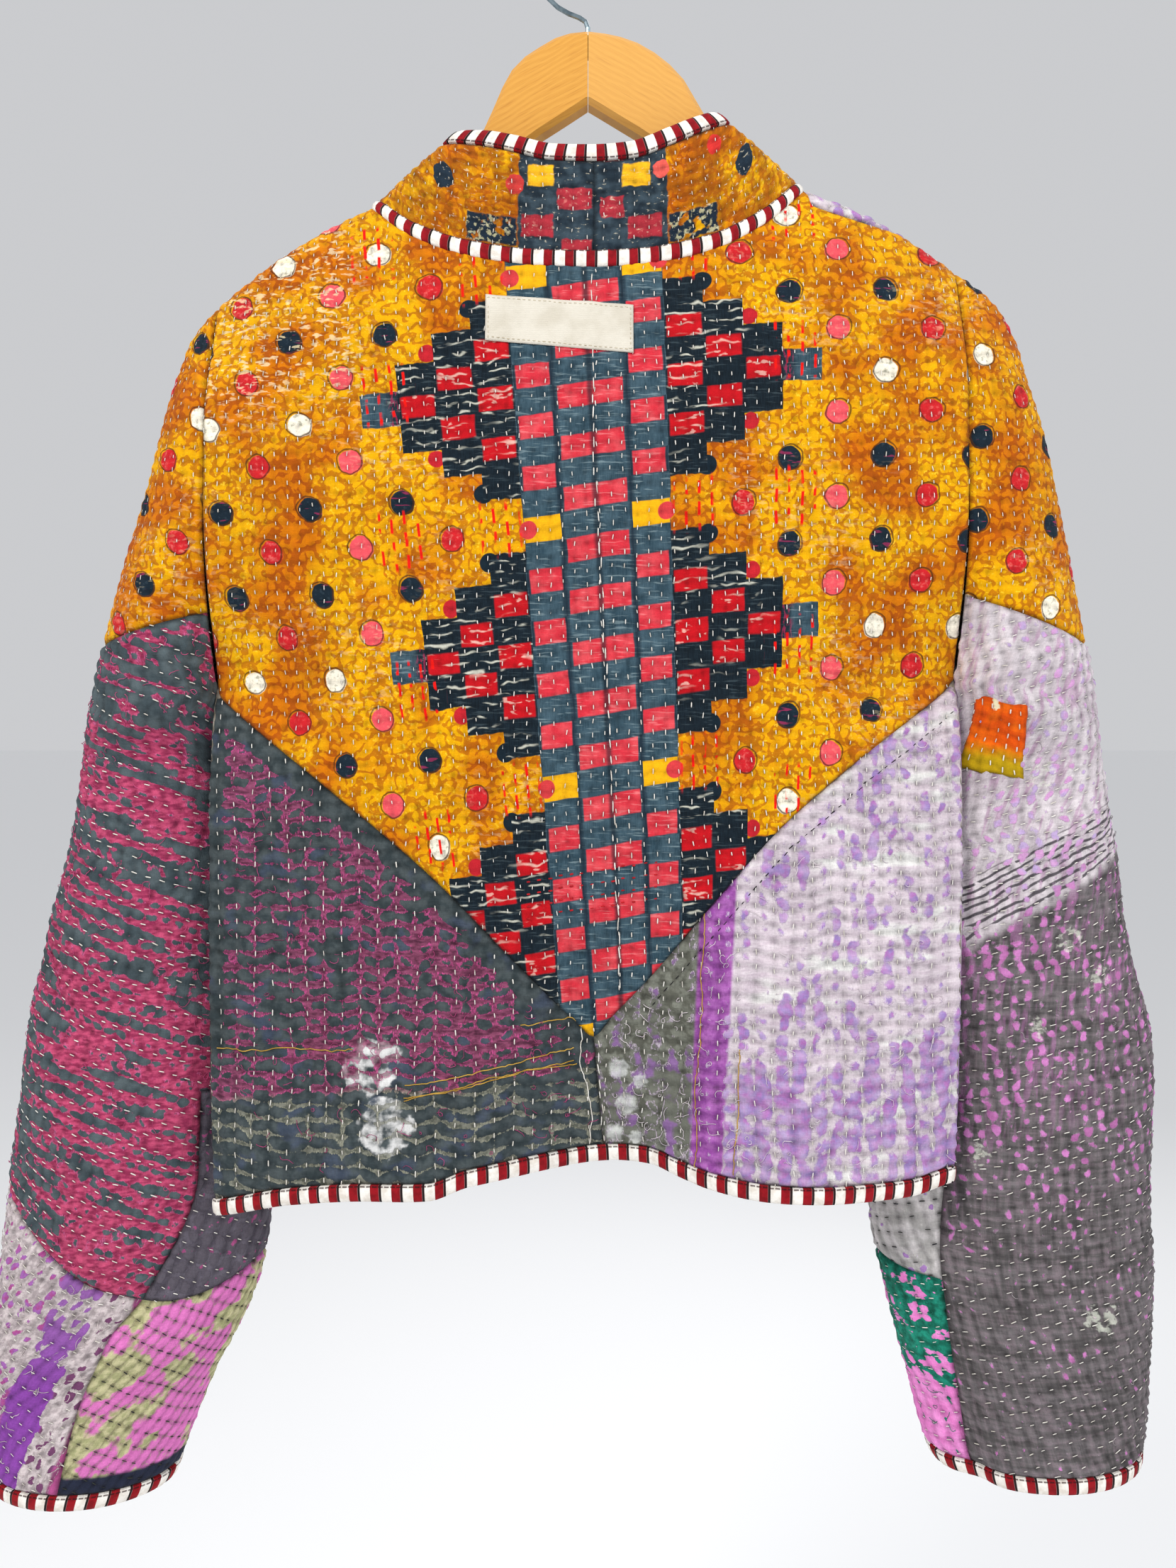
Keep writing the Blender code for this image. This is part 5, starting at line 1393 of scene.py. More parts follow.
def printed_cloth(name, shift=None):
    """The yoke's print, or on a sleeve's cap the same without its band and shifted."""
    p = Painter(name)
    across, down = print_frame(p)
    hide, faded = 0.0, p.noise(60, 31, 1).step(0.5, 0.64) * 0.3
    if shift:
        across, down = across + shift[0], down + shift[1]
    else:
        from_diamond = (down - DIAMOND_AT).from_nearest(REPEAT)
        hide = (15 - from_diamond.abs()).step(-1, 1) * (112 - across.abs()).step(-1, 1)
        faded = p.math("MAXIMUM", faded, across.step(-100, -124) * down.within(60, 250, 24))
    colour = dots(p, scroll_ground(p, across), across, down, hide)
    colour = p.patches(colour, "#EFDDB0", 2.4, 24, 0.56, 0.65, faded * 0.58, 1.5, (1.9, 0.8))
    if not shift:
        slate, navy, pink, red = band_dyes(p, across, down)
        colour = half_diamonds(p, colour, across.abs(), down, slate, navy, red)
        colour = centre_band(p, colour, across.abs(), down, slate, pink)
    return p.finish(faded_with_painted_shade(p, red_dashes(p, colour, across, down)), weave(p), 0.35)


# Cells and dots of the collar: left, right, top and bottom above the neck's seam
COLLAR_CELLS = [
    (-34, -18, 21, 10, "pink"), (-31, -18, 47, 36, "#E8AE1E"), (-16, 2, 35, 24, "pink"),
    (-14, 2, 9, 3, "pink"), (6, 18, 30, 20, "pink"), (6, 18, 54, 49, "pink"),
    (20, 38, 20, 9, "pink"), (17, 32, 47, 35, "#E8AE1E"),
]
COLLAR_DOTS = [
    (-38, 36, 5.0, "#C23A36"), (38, 42, 4.6, "#DE5A50"), (-78, 33, 6.2, "#1E2C39"),
    (88, 30, 6.2, "#1E2C39"), (70, 46, 4.6, "#C9302C"),
]


def collar_print():
    """The collar's worn piece of the same print: slate in the middle, ochre at the sides. The slate and pink
    of the middle are a little darker than the print's own, partly painted shade.
    """
    p = Painter("collar_print")
    u, v = p.flat()
    ground = p.patches(scroll_ground(p, u), "#8E4A06", 9, 1, 0.38, 0.58, 0.7, 3)
    u, v = u + p.sway(3.5, 6, 8), v + p.sway(3.5, 6, 9)
    # The slate here and the pink below are partly the print's colour and partly painted shade, darkened for
    # the shade on the collar's middle.
    colour = p.mix(u.within(-36, 41, 0.5), ground, p.patches("#1E2A34", "#394852", 8, 3))
    worn = p.noise(2.6, 4, 3)
    pink = p.mix(worn.step(0.58, 0.7) * 0.5, "#A42E39", "#CF7F76")
    for left, right, top, low, code in COLLAR_CELLS:
        box = u.within(left, right, 0.5) * v.within(-top, -low, 0.5)
        colour = p.mix(box, colour, pink if code == "pink" else code)
    navy = p.mix(worn.step(0.52, 0.62) * 0.8, "#1B2836", "#B9B48E")
    blocks = (u - 2.5).abs().within(39, 66, 0.6) * v.within(-19, -5, 0.6)
    colour = p.patches(colour, navy, 6, 6, 0.36, 0.44, blocks)
    for at_u, above, radius, code in COLLAR_DOTS:
        colour = p.dot(colour, distance(u - at_u, v + above) + (worn - 0.5) * 1.5, radius, code)
    colour = p.patches(colour, "#E6DCC0", 2.2, 7, 0.62, 0.74, 0.5, 3, (1.5, 0.7))
    return p.finish(faded_with_painted_shade(p, colour, 0.2), weave(p))


# Bleached and worn spots: right, down and radius
BLEACHED = [(-108.6, 597, 14.0), (-101.5, 628, 13.0)]
PALE_SPOTS = [(16, 603, 5), (20, 622, 5.5), (14, 638, 4.5), (27, 609, 3.5), (25, 640, 3.5)]
SLEEVE_SPOTS = [(228, 445, 5), (262, 452, 6), (300, 538, 6), (287, 585, 5), (318, 560, 6), (262, 655, 5),
                (322, 744, 9)]


def lower_left_cloth(name, stains):
    """Slate islands over magenta, and over grey below the gold threads, with bleached spots."""
    p = Painter(name)
    u, v = p.flat()
    below_gold = (v + (u + 100) * 0.09 + p.sway(12, 22, 31)).step(608, 613)
    bleached = [spot(p, *stain, 7, 91) * p.noise(7, 93, 3).step(0.34, 0.62) for stain in stains]
    island = p.patches(p.patches("#2F383B", "#474F51", 7, 29), "#454F66", 16, 30, 0.56, 0.68, 0.5)
    for share in bleached:
        island = p.mix(share * 0.95, island, "#D2D2D1")
    magenta = p.patches("#5C2E44", "#8E4A68", 2.2, 32, detail=3, stretch=(2.0, 0.8))
    line = p.mix(below_gold, magenta, p.patches("#62655B", "#85867A", 3, 33, 0.4, 0.6))
    upper = p.lumps(34, 1.6, 1.0) * 0.7 + p.lumps(35, 5, 6) * 0.3 + 0.18
    by_seam = (1 - p.flat("edge")[0].step(8, 12)) * (1 - v.step(585, 600)) * 0.9
    reach = below_gold.between(upper, p.lumps(36, 2.2, 1.3) * 0.5 + 0.6) + by_seam
    fray = p.mix(below_gold, "#C2508A", "#9C9C8A")
    marks = [(share * 0.35, "#D2D2D1") for share in bleached]
    return worn_cloth(p, island, line, fray, reach, 0.9, 0.55, (1.0, 0.72), 0.06, marks)


def lower_right_cloth(name):
    """Lilac that is worn to a pale ground, a purple strip, and grey by the centre seam."""
    p = Painter(name)
    u, v = p.flat()
    grey_left = (57 - u + (500 - v) * 0.03).step(-1, 1)
    lilac = p.mix(p.lumps(46, 0.8, 0.8) * 0.6, p.patches("#A66EAC", "#9079B0", 4, 36), "#BDA9C6")
    island = p.mix(grey_left, lilac, p.patches("#66685F", "#80608F", 9, 43, 0.5, 0.62))
    pale = p.patches("#CDC0C8", "#BDAFB9", 12, 37)
    pale = p.patches(pale, "#DAD2D6", 2.6, 44, 0.4, 0.62, 0.4, stretch=(4, 0.8))
    pale = p.patches(pale, "#DCDDD8", 22, 38, 0.55, 0.66, 0.8, stretch=(2, 0.6))
    strip = (75 - u - (v - 500) * 0.04).step(-1, 1)
    line = p.mix(strip, pale, p.patches("#874590", "#A864AE", 5, 40))
    line = p.mix(grey_left, line, p.patches("#595A51", "#787A70", 5, 39, 0.4, 0.6))
    low = (v + p.sway(60, 30, 40)).step(545, 640) * 0.70
    top = (1 - (v + u * 0.72 + p.sway(30, 24, 45)).step(565, 610)) * 0.26
    lumps = p.lumps(41, 1.7, 0.8) * 0.95 + p.lumps(42, 7, 7) * 0.35 - 0.48
    reach = (lumps + low + top) * p.math("MAXIMUM", (u - 73).step(-9, 3), grey_left) - grey_left * 0.1
    marks = [(spot(p, *place, 2.5, place[0]) * 0.7, "#CFD1CE") for place in PALE_SPOTS]
    return worn_cloth(p, island, line, "#CDBDD0", reach, 0.7, 0.5, (0.74, 1.0), 0.15, marks)


# Bands of worn magenta across the left sleeve, top and end of each
LEFT_MID_BANDS = [(429, 438), (451, 476), (488, 492), (510, 533), (542, 551)]


def left_mid_cloth():
    p = Painter("left_mid_cloth")
    u, v = p.flat()
    island = p.patches("#3B464B", "#515C60", 10, 45)
    line = p.patches("#8C2C4E", "#C04C70", 2.4, 46, detail=3, stretch=(2, 0.8))
    w = v - (u + 268) * 0.42 + p.sway(10, 20, 47)
    worn = w.step(553, 562) * 0.95
    for top, end in LEFT_MID_BANDS:
        worn = worn + w.within(top, end, 2.0) * 0.95
    outer = (u + 345).abs().step(12, 40)
    ragged = (p.lumps(48, 3.2, 0.8) - 0.5) * 1.25 + (p.lumps(49, 8, 5) - 0.5) * 0.4
    reach = 1.0 - worn * (0.2 + outer * 0.5) + ragged
    return worn_cloth(p, island, line, "#CF6494", reach, 0.8, 0.6, (0.8, 1.0))


def left_under_cloth():
    p = Painter("left_under_cloth")
    line = p.patches("#4F4A54", "#645F6A", 9, 49)
    marks = [(p.noise(4.5, 72).step(0.64, 0.7) * 0.8, "#A84A80")]
    return worn_cloth(p, "#544F58", line, "#5E5663", p.noise(14, 50) * 1.1 + 0.1, 0.2, marks=marks)


def left_outer_cloth():
    """Stripes down the forearm: frayed grey lilac, purple, frayed grey and magenta by the seam."""
    p = Painter("left_outer_cloth")
    u, v = p.flat()
    at = u + p.sway(6, 14, 51)
    by_seam = at.within(-276, -255, 1.0)
    island = p.patches("#9A5FA6", "#A04A86", 5, 52, 0.4, 0.6)
    purple = p.mix(v.step(730, 790), "#8E5CA0", "#84429E")
    island = p.mix(at.within(-316, -292, 1.0), island, purple)
    island = p.mix(at.within(-292, -276, 1.0), island, "#6C3F62")
    island = p.mix(by_seam, island, "#A44C80")
    line = p.mix(by_seam, p.patches("#A89C9E", "#CBBFC0", 3, 73, 0.4, 0.6, detail=3), "#8E4A74")
    low = (v + p.sway(60, 26, 74)).step(730, 810)
    kept = at.within(-316, -294, 1.5) * (0.4 + low * 0.9) + at.within(-274, -255, 1.5) * 0.8 + low * 0.15
    reach = p.lumps(53, 1.4, 1.0) * 0.9 - 0.18 + kept
    return worn_cloth(p, island, line, "#DAD0CE", reach, 0.8, 0.6, (1.0, 0.8))


def left_inner_cloth():
    """Sage and pink in large patches, with a dark edge at the cuff."""
    p = Painter("left_inner_cloth")
    pink = p.noise(20, 54, 3).step(0.48, 0.53)
    island = p.mix(pink, p.patches("#9C9C72", "#B9B48C", 4, 55, 0.4, 0.6), "#CE70B2")
    line = p.mix(pink, "#A09B74", "#C06AA6")
    marks = [(p.flat()[1].step(829, 832), "#23283A")]
    return worn_cloth(p, island, line, "#C9C39E", p.noise(13, 56) + 0.45, 0.4, 0.4, marks=marks)


def right_main_cloth():
    """Lilac above charcoal, with thin dark lines between them and beads of pink over both."""
    p = Painter("right_main_cloth")
    u, v = p.flat()
    w = v + (u - 200) * 0.61 + p.sway(12, 40, 56, 1)
    dark = p.patches("#524F4F", "#6A6567", 14, 58, stretch=(3, 0.6))
    plaid = p.noise(5, 86, 2, (0.5, 5)) + p.noise(5, 87, 2, (5, 0.5))
    dark = p.mix(plaid.step(0.9, 1.25) * 0.55, dark, "#86787F")
    dark = p.mix(plaid.step(0.95, 0.75) * 0.5, dark, "#3E3B3D")
    below = (w + p.sway(6, 9, 68)).step(568, 577)
    line = p.mix(below, p.patches("#BDB3B9", "#CFC7CB", 14, 57), dark)
    upper = (1 - w.step(640, 740)) * 0.45
    line = p.patches(line, "#A8709F", 6, 70, 0.52, 0.64, upper, stretch=(0.6, 3.5))
    lines = ((w - 535 + p.sway(3.2, 9, 59, 1)) / 4.9).fraction().within(0.3, 0.68, 0.08)
    lines = lines * w.within(533, 569, 1.0) * (1 - below) * 0.9
    line = p.patches(line, "#3A373D", 5, 69, 0.36, 0.42, lines, 1, (2, 1))
    soft = p.patches("#C492C0", "#B09AC2", 9, 60, 0.4, 0.6)
    island = p.mix(w.step(548, 580), soft, p.patches("#C27AB6", "#A8659A", 9, 61, 0.4, 0.6))
    beads = p.lumps(62, 0.8, 0.9) * 0.8 + p.lumps(63, 4, 4) * 0.5 - 0.40
    fades = (w - (u - 270) * 0.5 + p.sway(60, 30, 65, 1)).step(630, 820) * 0.42
    reach = beads - fades - (1 - w.step(460, 520)) * 0.18
    ragged = p.noise(5, 71, 3).step(0.44, 0.56) * 0.6
    marks = [(spot(p, *place, 7, place[0]) * ragged, "#D3D6C8") for place in SLEEVE_SPOTS]
    return worn_cloth(p, island, line, "#C9BAC7", reach, 0.25, 0.45, (1.1, 0.8), 0.14, marks)


def right_under_top_cloth():
    p = Painter("right_under_top_cloth")
    line = p.patches("#C9C4C4", "#ABA8A6", 10, 64, 0.4, 0.6)
    low = (p.flat()[1] + p.sway(20, 20, 75)).step(640, 690) * 0.9
    reach = p.lumps(65, 1.6, 1.6) * 1.2 + 0.15 - low
    return worn_cloth(p, "#A07AB4", line, "#DEDAD6", reach, 0.6, 0.5, (0.8, 1.0))


def right_under_low_cloth():
    """Pink with teal, which covers most of the upper part."""
    p = Painter("right_under_low_cloth")
    island, line = p.patches("#D878BC", "#E28CCB", 6, 76), p.patches("#12604E", "#228A74", 4, 66, detail=3)
    low = (p.flat()[1] + p.sway(60, 16, 77)).step(768, 800)
    reach = p.noise(9, 67, 3, (1.6, 0.8)).step(0.38, 0.68) * 1.3 - 0.35 + low * 1.4
    return worn_cloth(p, island, line, "#2A9A80", reach, 0.6, 0.8, (0.9, 0.7))


# Stripes of the binding: their pitch, and the shares of it where the red and the black start
STRIPE_PITCH = 10.9
RED_STARTS, BLACK_STARTS, BLACK_ENDS = 0.465, 0.872, 0.988
BINDING_STITCH_PITCH = 3.1


def binding_cloth():
    """Woven stripes across the strip: white, dark red and a thin black line."""
    p = Painter("binding_cloth")
    u, v = p.flat()
    at = (u / STRIPE_PITCH + p.sway(0.06, 30, 70, 1)).fraction()
    white = p.patches("#F1EDE6", "#DDD5CA", 5, 71, 0.4, 0.7)
    colour = p.mix(at.within(RED_STARTS, BLACK_STARTS, 0.012), white, p.patches("#97151F", "#7E1119", 4, 72))
    colour = p.mix(at.within(BLACK_STARTS, BLACK_ENDS, 0.012), colour, "#231A1A")
    seam = v.within(0.9, 1.7, 0.15) * (u / BINDING_STITCH_PITCH).fraction().within(0.12, 0.88, 0.05)
    colour = p.mix(seam * 0.8, colour, "#3A1418")
    # Uneven fading, and darker on the strip's lip beside its line of sewing.
    fading = p.sway(0.22, 0.9, 73, 3) + p.sway(0.16, 20, 74) - v.within(0.5, 2.0, 0.4) * 0.12
    return p.finish(p.shade(colour, 1 + fading), weave(p) + seam * -1.2, 0.25)


def label_cloth():
    p = Painter("label_cloth")
    ribs = (p.flat()[1] / 0.55).fraction().within(0.2, 0.7, 0.2)
    fading = (p.noise(1.0, 76, 2, (3, 0.6)) - 0.5) * 0.12
    colour = p.shade(p.patches("#DCD6C8", "#CFC8B8", 12, 75, 0.35, 0.7), 1 + fading)
    return p.finish(colour, ribs * 0.6 + p.noise(0.8, 77), 0.15, rough=0.6, sheen=0.3)


def patch_cloth():
    """Orange that fades to ochre at the bottom, with a worn spot at the top."""
    p = Painter("patch_cloth")
    u, v = p.flat()
    colour = p.patches("#D8500A", "#E8660E", 10, 79, 0.4, 0.65)
    colour = p.mix((v + p.sway(7, 9, 78)).step(21, 33), colour, "#B3930F")
    away = distance(u - 15, v - 2) + p.sway(5, 2, 80)
    colour = p.mix((2.4 - away).step(-0.5, 0.5), colour, "#E9DDB8")
    return p.finish(faded_with_painted_shade(p, colour), weave(p))


def thread(name, light, dark):
    p = Painter(name)
    x, _, z = p.solid()
    colour = p.mix(p.noise(9, 81, place=(x, z)).step(0.35, 0.65), light, dark)
    return p.finish(colour, p.noise(0.5, 82, place=(x, z)), 0.1)


def wood():
    """Varnished honey-coloured wood with its grain along the arms; the right arm is painted lighter, a
    painted highlight for the light falling from that side.
    """
    p = Painter("varnished_wood")
    x, _, z = p.solid()
    place = x, x.abs() * 0.5 + z
    rings = (place[1] / 3.4 + p.noise(30, 83, place=place) * 3.0).fraction()
    grain = p.noise(1.4, 84, 3, (9, 0.5), place)
    colour = p.mix(rings.within(0.3, 0.8, 0.2) * 0.3, "#DDA24C", "#C98838")
    colour = p.mix(grain.step(0.5, 0.75) * 0.35, colour, "#A9652A")
    # Painted highlight: the right arm is lighter, as it would be lit from the right.
    colour = p.mix(x.step(-0.4, 0.4) * 0.25, colour, "#F2C07A")
    return p.finish(colour, grain * 0.5 + rings * 0.2, 0.08, rough=0.32, sheen=0.0)


def steel():
    p = Painter("hook_wire")
    x, _, z = p.solid()
    tarnish = p.noise(4, 85, 3, place=(x, z))
    colour = p.mix(tarnish.step(0.4, 0.7), "#8FA0A8", "#6B7B84")
    p.shader.inputs["Metallic"].default_value = 1.0
    return p.finish(colour, tarnish, 0.04, rough=0.28 + tarnish * 0.2, sheen=0.0)


def add_riding(mesh, material):
    thing = add_object(mesh, material)
    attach(thing, "root")
    return thing


def replace_with(mesh, node, *materials):
    thing = add_object(mesh, *materials)
    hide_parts(node)
    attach(thing, "root")
    return thing


def outside_area(sheets):
    area = 0.0
    for sheet in sheets:
        p = sheet.outer
        one = np.cross(p[1:, :-1] - p[:-1, :-1], p[:-1, 1:] - p[:-1, :-1])
        area += (np.linalg.norm(one, axis=-1) * cell_mask(sheet)).sum()
    return area * MM * MM


def declare_sheet(sheets):
    """Works out the cut's width and length on the flat and the area of its outside, but hands nothing back.
    """
    sheet = sheets[0]
    across, down = np.ptp(sheet.cloth[:-1, :-1][cell_mask(sheet)], axis=0) * MM
    min(outside_area(sheets), across * down)


def panels():
    """The name, the sheets and the cloth of each panel."""
    collar = collar_print()
    return [
        ("back_upper", [back_upper_sheet()], printed_cloth("yoke_print")),
        ("back_lower_left", [back_lower_sheet(LEFT)], lower_left_cloth("lower_left_cloth", BLEACHED)),
        ("back_lower_right", [back_lower_sheet(RIGHT)], lower_right_cloth("lower_right_cloth")),
        ("front_left", [front_sheet(LEFT)], lower_left_cloth("front_left_cloth", [])),
        ("front_right", [front_sheet(RIGHT), shoulder_strip_sheet()], lower_right_cloth("front_right_cloth")),
        ("sleeve_left_upper", [sleeve_sheet(LEFT, 0, UPPER_ENDS)],
         printed_cloth("left_cap_print", (3.0, 6.0))),
        ("sleeve_left_mid", [sleeve_sheet(LEFT, UPPER_ENDS, UNDER_ENDS, main_cells)], left_mid_cloth()),
        ("sleeve_left_under", [sleeve_sheet(LEFT, UNDER_STARTS, UNDER_ENDS, inner_cells)],
         left_under_cloth()),
        ("sleeve_left_fore_outer", [sleeve_sheet(LEFT, UNDER_ENDS, CUFF_ROW[LEFT], outer_cells)],
         left_outer_cloth()),
        ("sleeve_left_fore_inner", [sleeve_sheet(LEFT, UNDER_ENDS, CUFF_ROW[LEFT], inner_cells)],
         left_inner_cloth()),
        ("sleeve_right_upper", [sleeve_sheet(RIGHT, 0, UPPER_ENDS)],
         printed_cloth("right_cap_print", (-4.0, 10.0))),
        ("sleeve_right_main", [sleeve_sheet(RIGHT, UPPER_ENDS, CUFF_ROW[RIGHT], main_cells)],
         right_main_cloth()),
        ("sleeve_right_under_top", [sleeve_sheet(RIGHT, UNDER_STARTS, UNDER_ENDS, inner_cells)],
         right_under_top_cloth()),
        ("sleeve_right_under_low", [sleeve_sheet(RIGHT, UNDER_ENDS, CUFF_ROW[RIGHT], inner_cells)],
         right_under_low_cloth()),
        ("collar_left", [collar_sheet(LEFT)], collar), ("collar_right", [collar_sheet(RIGHT)], collar),
    ]


DARK_SEWN = ("sleeve_left_fore_inner", "sleeve_right_under_top")


def build_panels(white):
    """Every panel with its sewing, in place of its solid. Hands back each panel's first sheet."""
    inside, dark = inside_cloth(), thread("dark_thread", "#2B2B33", "#3E4238")
    first = {}
    for name, sheets, cloth in panels():
        for sheet in sheets:
            finish_sheet(sheet, QUILTS[name], {"back": False, "front": True}.get(name.split("_")[0]))
        piece = replace_with(panel_mesh(name + "_cloth", sheets), name, cloth, inside)
        sewing = add_riding(stitches_mesh(name + "_stitches", sheets, QUILTS[name]),
                            dark if name in DARK_SEWN else white)
        declare_sheet(sheets)
        first[name] = sheets[0]
    return first


def edge_of(sheet, row=None, column=None):
    """A row or column of the sheet's places, the one a little inside it, and its normals."""
    if row is not None:
        return sheet.place[row], sheet.place[row + (4 if row >= 0 else -4)], sheet.normal[row]
    return sheet.place[:, column], sheet.place[:, column + 4], sheet.normal[:, column]


def backwards(edge):
    return [places[::-1] for places in edge]


def joined(*edges):
    return [np.concatenate(places) for places in zip(*edges)]


def build_bindings(sheets):
    cloth = binding_cloth()
    lower = joined(edge_of(sheets["back_lower_left"], row=-1), edge_of(sheets["back_lower_right"], row=-1))
    high = joined(edge_of(sheets["collar_left"], row=-1), backwards(edge_of(sheets["collar_right"], row=-1)))
    parts = {
        "binding_hem_back": edge_binding("hem_back_binding_cloth", *lower, seed=1),
        "binding_collar": edge_binding("collar_binding_cloth", *high, seed=2),
    }
    for name in NAMES.values():
        front = sheets["front_" + name]
        up = joined(backwards(edge_of(sheets["collar_" + name], column=0)), edge_of(front, column=0))
        parts["binding_front_" + name] = edge_binding(
            "front_" + name + "_binding_cloth", *up, lengthen=BINDING_WIDTH, seed=3)
        parts["binding_hem_front_" + name] = edge_binding(
            "hem_front_" + name + "_binding_cloth", *edge_of(front, row=-1), seed=4)
    for name, panel in {"left": "sleeve_left_fore_outer", "right": "sleeve_right_main"}.items():
        parts["binding_cuff_" + name] = edge_binding(
            "cuff_" + name + "_binding_cloth", *edge_of(sheets[panel], row=-1), closed=True, seed=5)
    parts["binding_neck"] = neck_binding()
    for node, mesh in parts.items():
        replace_with(mesh, node, cloth)


# The label's sewing, a little inside its edges
LABEL_BORDER = [(-50.5, 209.2), (21.5, 214.6), (21.5, 236.4), (-50.5, 230.0), (-50.5, 209.2)]


def build_label_and_patch(white):
    label, cloth = label_sheet(), label_cloth()
    piece = replace_with(panel_mesh("label_cloth", [label]), "label", cloth, cloth)
    sewing = sewn_line("label_stitches", Finder(label), LABEL_BORDER, 2.6, 1.7, 0.4, 50, 0.1, 0.1)
    add_object(sewing, thread("label_thread", "#D8CDB4", "#C9BC9E")).parent = piece
    patch, cloth = patch_sheet(), patch_cloth()
    replace_with(panel_mesh("patch_cloth", [patch]), "patch_orange", cloth, cloth)
    add_riding(stitches_mesh("patch_stitches", [patch], PATCH_QUILT), white)


# Lines of sewing on the back, with the lines of loose gold and white thread, right and down
CENTRE_SEAM_LINE = [(1.5, 200), (2.5, 284), (10, 413), (14.5, 515), (17, 572)]
BLACK_LINE = [(190, 420), (140, 456), (100, 489), (62, 533), (30, 572)]
LOWER_SEAM_LINE = [(5, 590), (7, 620), (8, 645)]
GOLD_LEFT = [
    [(-192, 594), (-150, 591), (-117, 589)], [(-93, 613), (-50, 605), (-6, 599)],
    [(-92, 607), (-50, 600), (-6, 590)], [(-92, 614), (-60, 607), (-6, 597)], [(-34, 578), (-6, 574)],
]
GOLD_RIGHT = [[(59, 512), (58, 560), (56, 612), (55, 655)], [(77, 590), (76, 620), (74, 655)]]
LOOSE_LINE = [(-3, 576), (-5, 600), (1, 622), (1, 645)]
RED_ROWS, RED_ROW_FIRST, RED_ROW_PITCH = 4, 498, 6.2


def build_seam_sewing(sheets, white):
    """The long lines of sewing that show on the back, then the loose threads."""
    upper, low_left, low_right = [Finder(sheets["back_" + n]) for n in ("upper", "lower_left", "lower_right")]
    black = thread("black_thread", "#1B1A1E", "#2B282B")
    red = thread("red_thread", "#C32028", "#A01820")
    lines = [
        ("centre_seam_stitches", upper, CENTRE_SEAM_LINE, 7.6, 6.4, 0.7, white, 0.7),
        ("black_running_stitch", low_right, BLACK_LINE, 4.6, 3.0, 0.5, black, 0.3),
        ("lower_seam_stitches", low_right, LOWER_SEAM_LINE, 7.0, 5.8, 0.7, white, 0.7),
    ]
    for row in range(RED_ROWS):
        down = RED_ROW_FIRST + row * RED_ROW_PITCH
        lines.append((f"red_row_{row}", upper, [(-30, down + 6), (40, down - 5)], 5.4, 2.2, 0.9, red, 0.5))
    for name, finder, points, pitch, length, width, material, waver in lines:
        add_riding(sewn_line(name, finder, points, pitch, length, width, 60 + len(name), waver), material)
    rng = np.random.default_rng(400)
    golds = [laid_thread(rng, low_left, points, 0.32) for points in GOLD_LEFT]
    golds += [laid_thread(rng, low_right, points, 0.3) for points in GOLD_RIGHT]
    add_riding(thread_mesh("gold_threads", golds, 0.3), thread("gold_thread", "#C9A24A", "#A98436"))
    loose = [laid_thread(rng, low_left, LOOSE_LINE, 0.3)]
    add_riding(thread_mesh("loose_white_thread", loose, 0.3), white)


# Loose thread ends on the worn pieces: how many, colours, length
FRAYS = {
    "back_lower_left": (170, "#B4487C", "#8E3A62", 6.0),
    "back_lower_right": (210, "#E2D9DC", "#C6B6C6", 6.5),
    "sleeve_left_mid": (360, "#D45A8C", "#A83A68", 7.0),
    "sleeve_left_fore_outer": (150, "#DDD2CE", "#B9ACAE", 8.0),
    "sleeve_right_main": (130, "#B9B0B4", "#8B8488", 5.0),
    "sleeve_right_under_low": (60, "#1F8A72", "#12604E", 5.0),
}
FRAY_FROM_EDGE = 6
FRAY_LIFT = 0.55
FRAY_RADIUS = 0.17


def build_frays(sheets):
    for name, (count, light, dark, length) in FRAYS.items():
        sheet = sheets[name]
        rng = np.random.default_rng(sum(map(ord, name)))
        finder = Finder(sheet)
        used = np.pad(cell_mask(sheet), ((0, 1), (0, 1)))
        inside = np.argwhere((sheet.away > FRAY_FROM_EDGE) & used)
        paths = []
        for r, c in inside[rng.integers(0, len(inside), count)]:
            u, v = sheet.cloth[r, c]
            paths.append(curl(rng, finder, u, v, length * rng.uniform(0.5, 1.4), FRAY_LIFT))
        add_riding(thread_mesh(name + "_frays", paths, FRAY_RADIUS), thread(name + "_fray", light, dark))


def dress_hanger():
    varnished = wood()
    for name in ("hanger_arm_left", "hanger_arm_right"):
        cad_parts[name].data.materials[0] = varnished
    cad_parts["hanger_hook"].data.materials[0] = steel()


# Camera as in the photo, which is 1659 by 2212 pixels with a focal length of 1660
PHOTO_WIDTH = 1659
PHOTO_FOCAL = 1660
SENSOR = 36
CAMERA_PLACE = (0.0, -0.645, -0.419)
CAMERA_PITCH = math.radians(86.5)
LIGHTS_AIM = (0, 0, -0.4)
FLOOR_Z = -1.75
FLOOR_REACH = 40


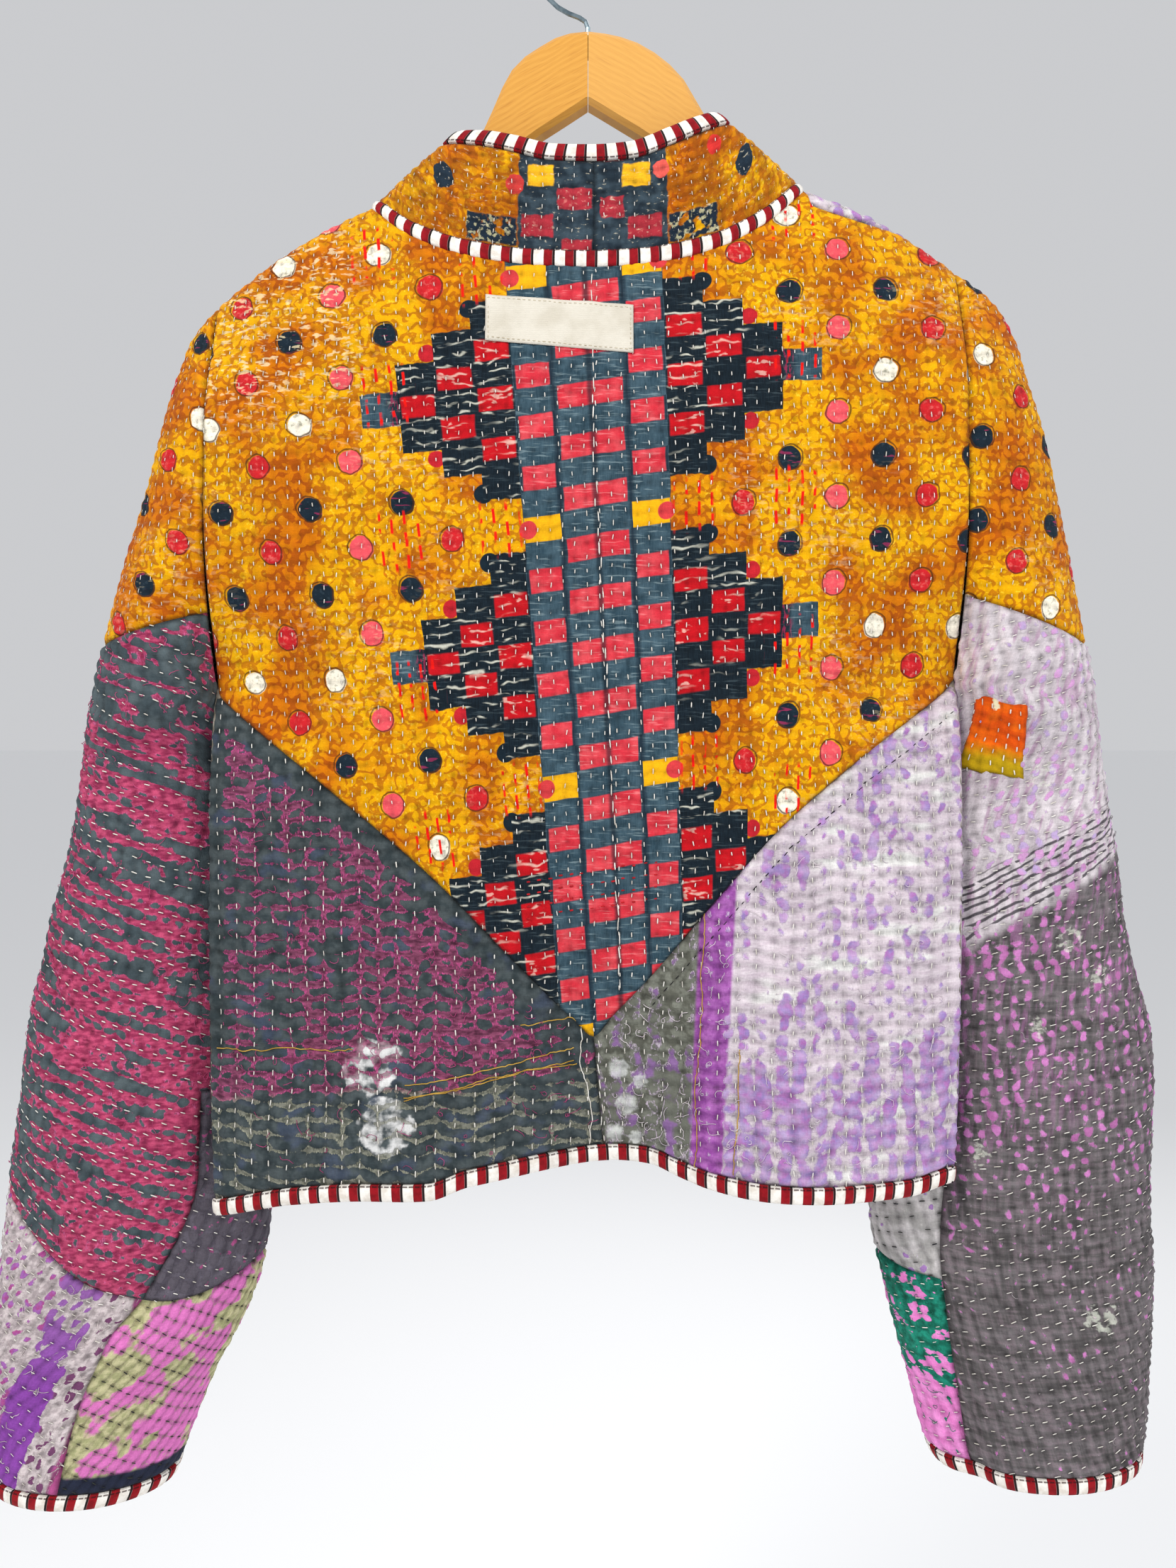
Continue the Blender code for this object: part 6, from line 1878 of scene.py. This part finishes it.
def add_camera():
    data = bpy.data.cameras.new("camera")
    data.sensor_fit = "HORIZONTAL"
    data.sensor_width = SENSOR
    data.lens = SENSOR * PHOTO_FOCAL / PHOTO_WIDTH
    data.clip_start = 0.05
    camera = bpy.data.objects.new("camera", data)
    camera.location = CAMERA_PLACE
    camera.rotation_euler = (CAMERA_PITCH, 0, 0)
    bpy.context.scene.collection.objects.link(camera)
    bpy.context.scene.camera = camera


def area_light(name, place, size, power, colour=(1, 1, 1)):
    data = bpy.data.lights.new(name, "AREA")
    data.size = size
    data.energy = power
    data.color = colour
    light = bpy.data.objects.new(name, data)
    light.location = place
    light.rotation_euler = (Vector(LIGHTS_AIM) - Vector(place)).to_track_quat("-Z", "Y").to_euler()
    bpy.context.scene.collection.objects.link(light)


def add_studio():
    world = bpy.data.worlds.new("studio")
    world.use_nodes = True
    background = world.node_tree.nodes["Background"]
    background.inputs["Color"].default_value = (0.96, 0.97, 1.0, 1)
    background.inputs["Strength"].default_value = 0.62
    bpy.context.scene.world = world
    area_light("key_light", (-1.2, -1.7, 1.4), 0.7, 44, (1.0, 0.98, 0.95))
    area_light("fill_light", (1.7, -1.6, 0.3), 1.4, 22)
    area_light("back_light", (0.6, 2.2, 0.8), 1.6, 30)
    mesh = bpy.data.meshes.new("floor")
    corners = [(-1, -1), (1, -1), (1, 1), (-1, 1)]
    mesh.from_pydata([(x * FLOOR_REACH, y * FLOOR_REACH, FLOOR_Z) for x, y in corners], [], [(0, 1, 2, 3)])
    p = Painter("pale_floor")
    p.shader.inputs["Base Color"].default_value = (0.95, 0.955, 0.96, 1)
    p.shader.inputs["Roughness"].default_value = 0.9
    add_object(mesh, p.material)


def main():
    add_camera()
    add_studio()
    white = thread("white_thread", "#F2EFE8", "#D9D3C8")
    sheets = build_panels(white)
    build_bindings(sheets)
    build_label_and_patch(white)
    build_seam_sewing(sheets, white)
    build_frays(sheets)
    dress_hanger()
    bpy.context.scene.view_settings.view_transform = "Standard"


main()
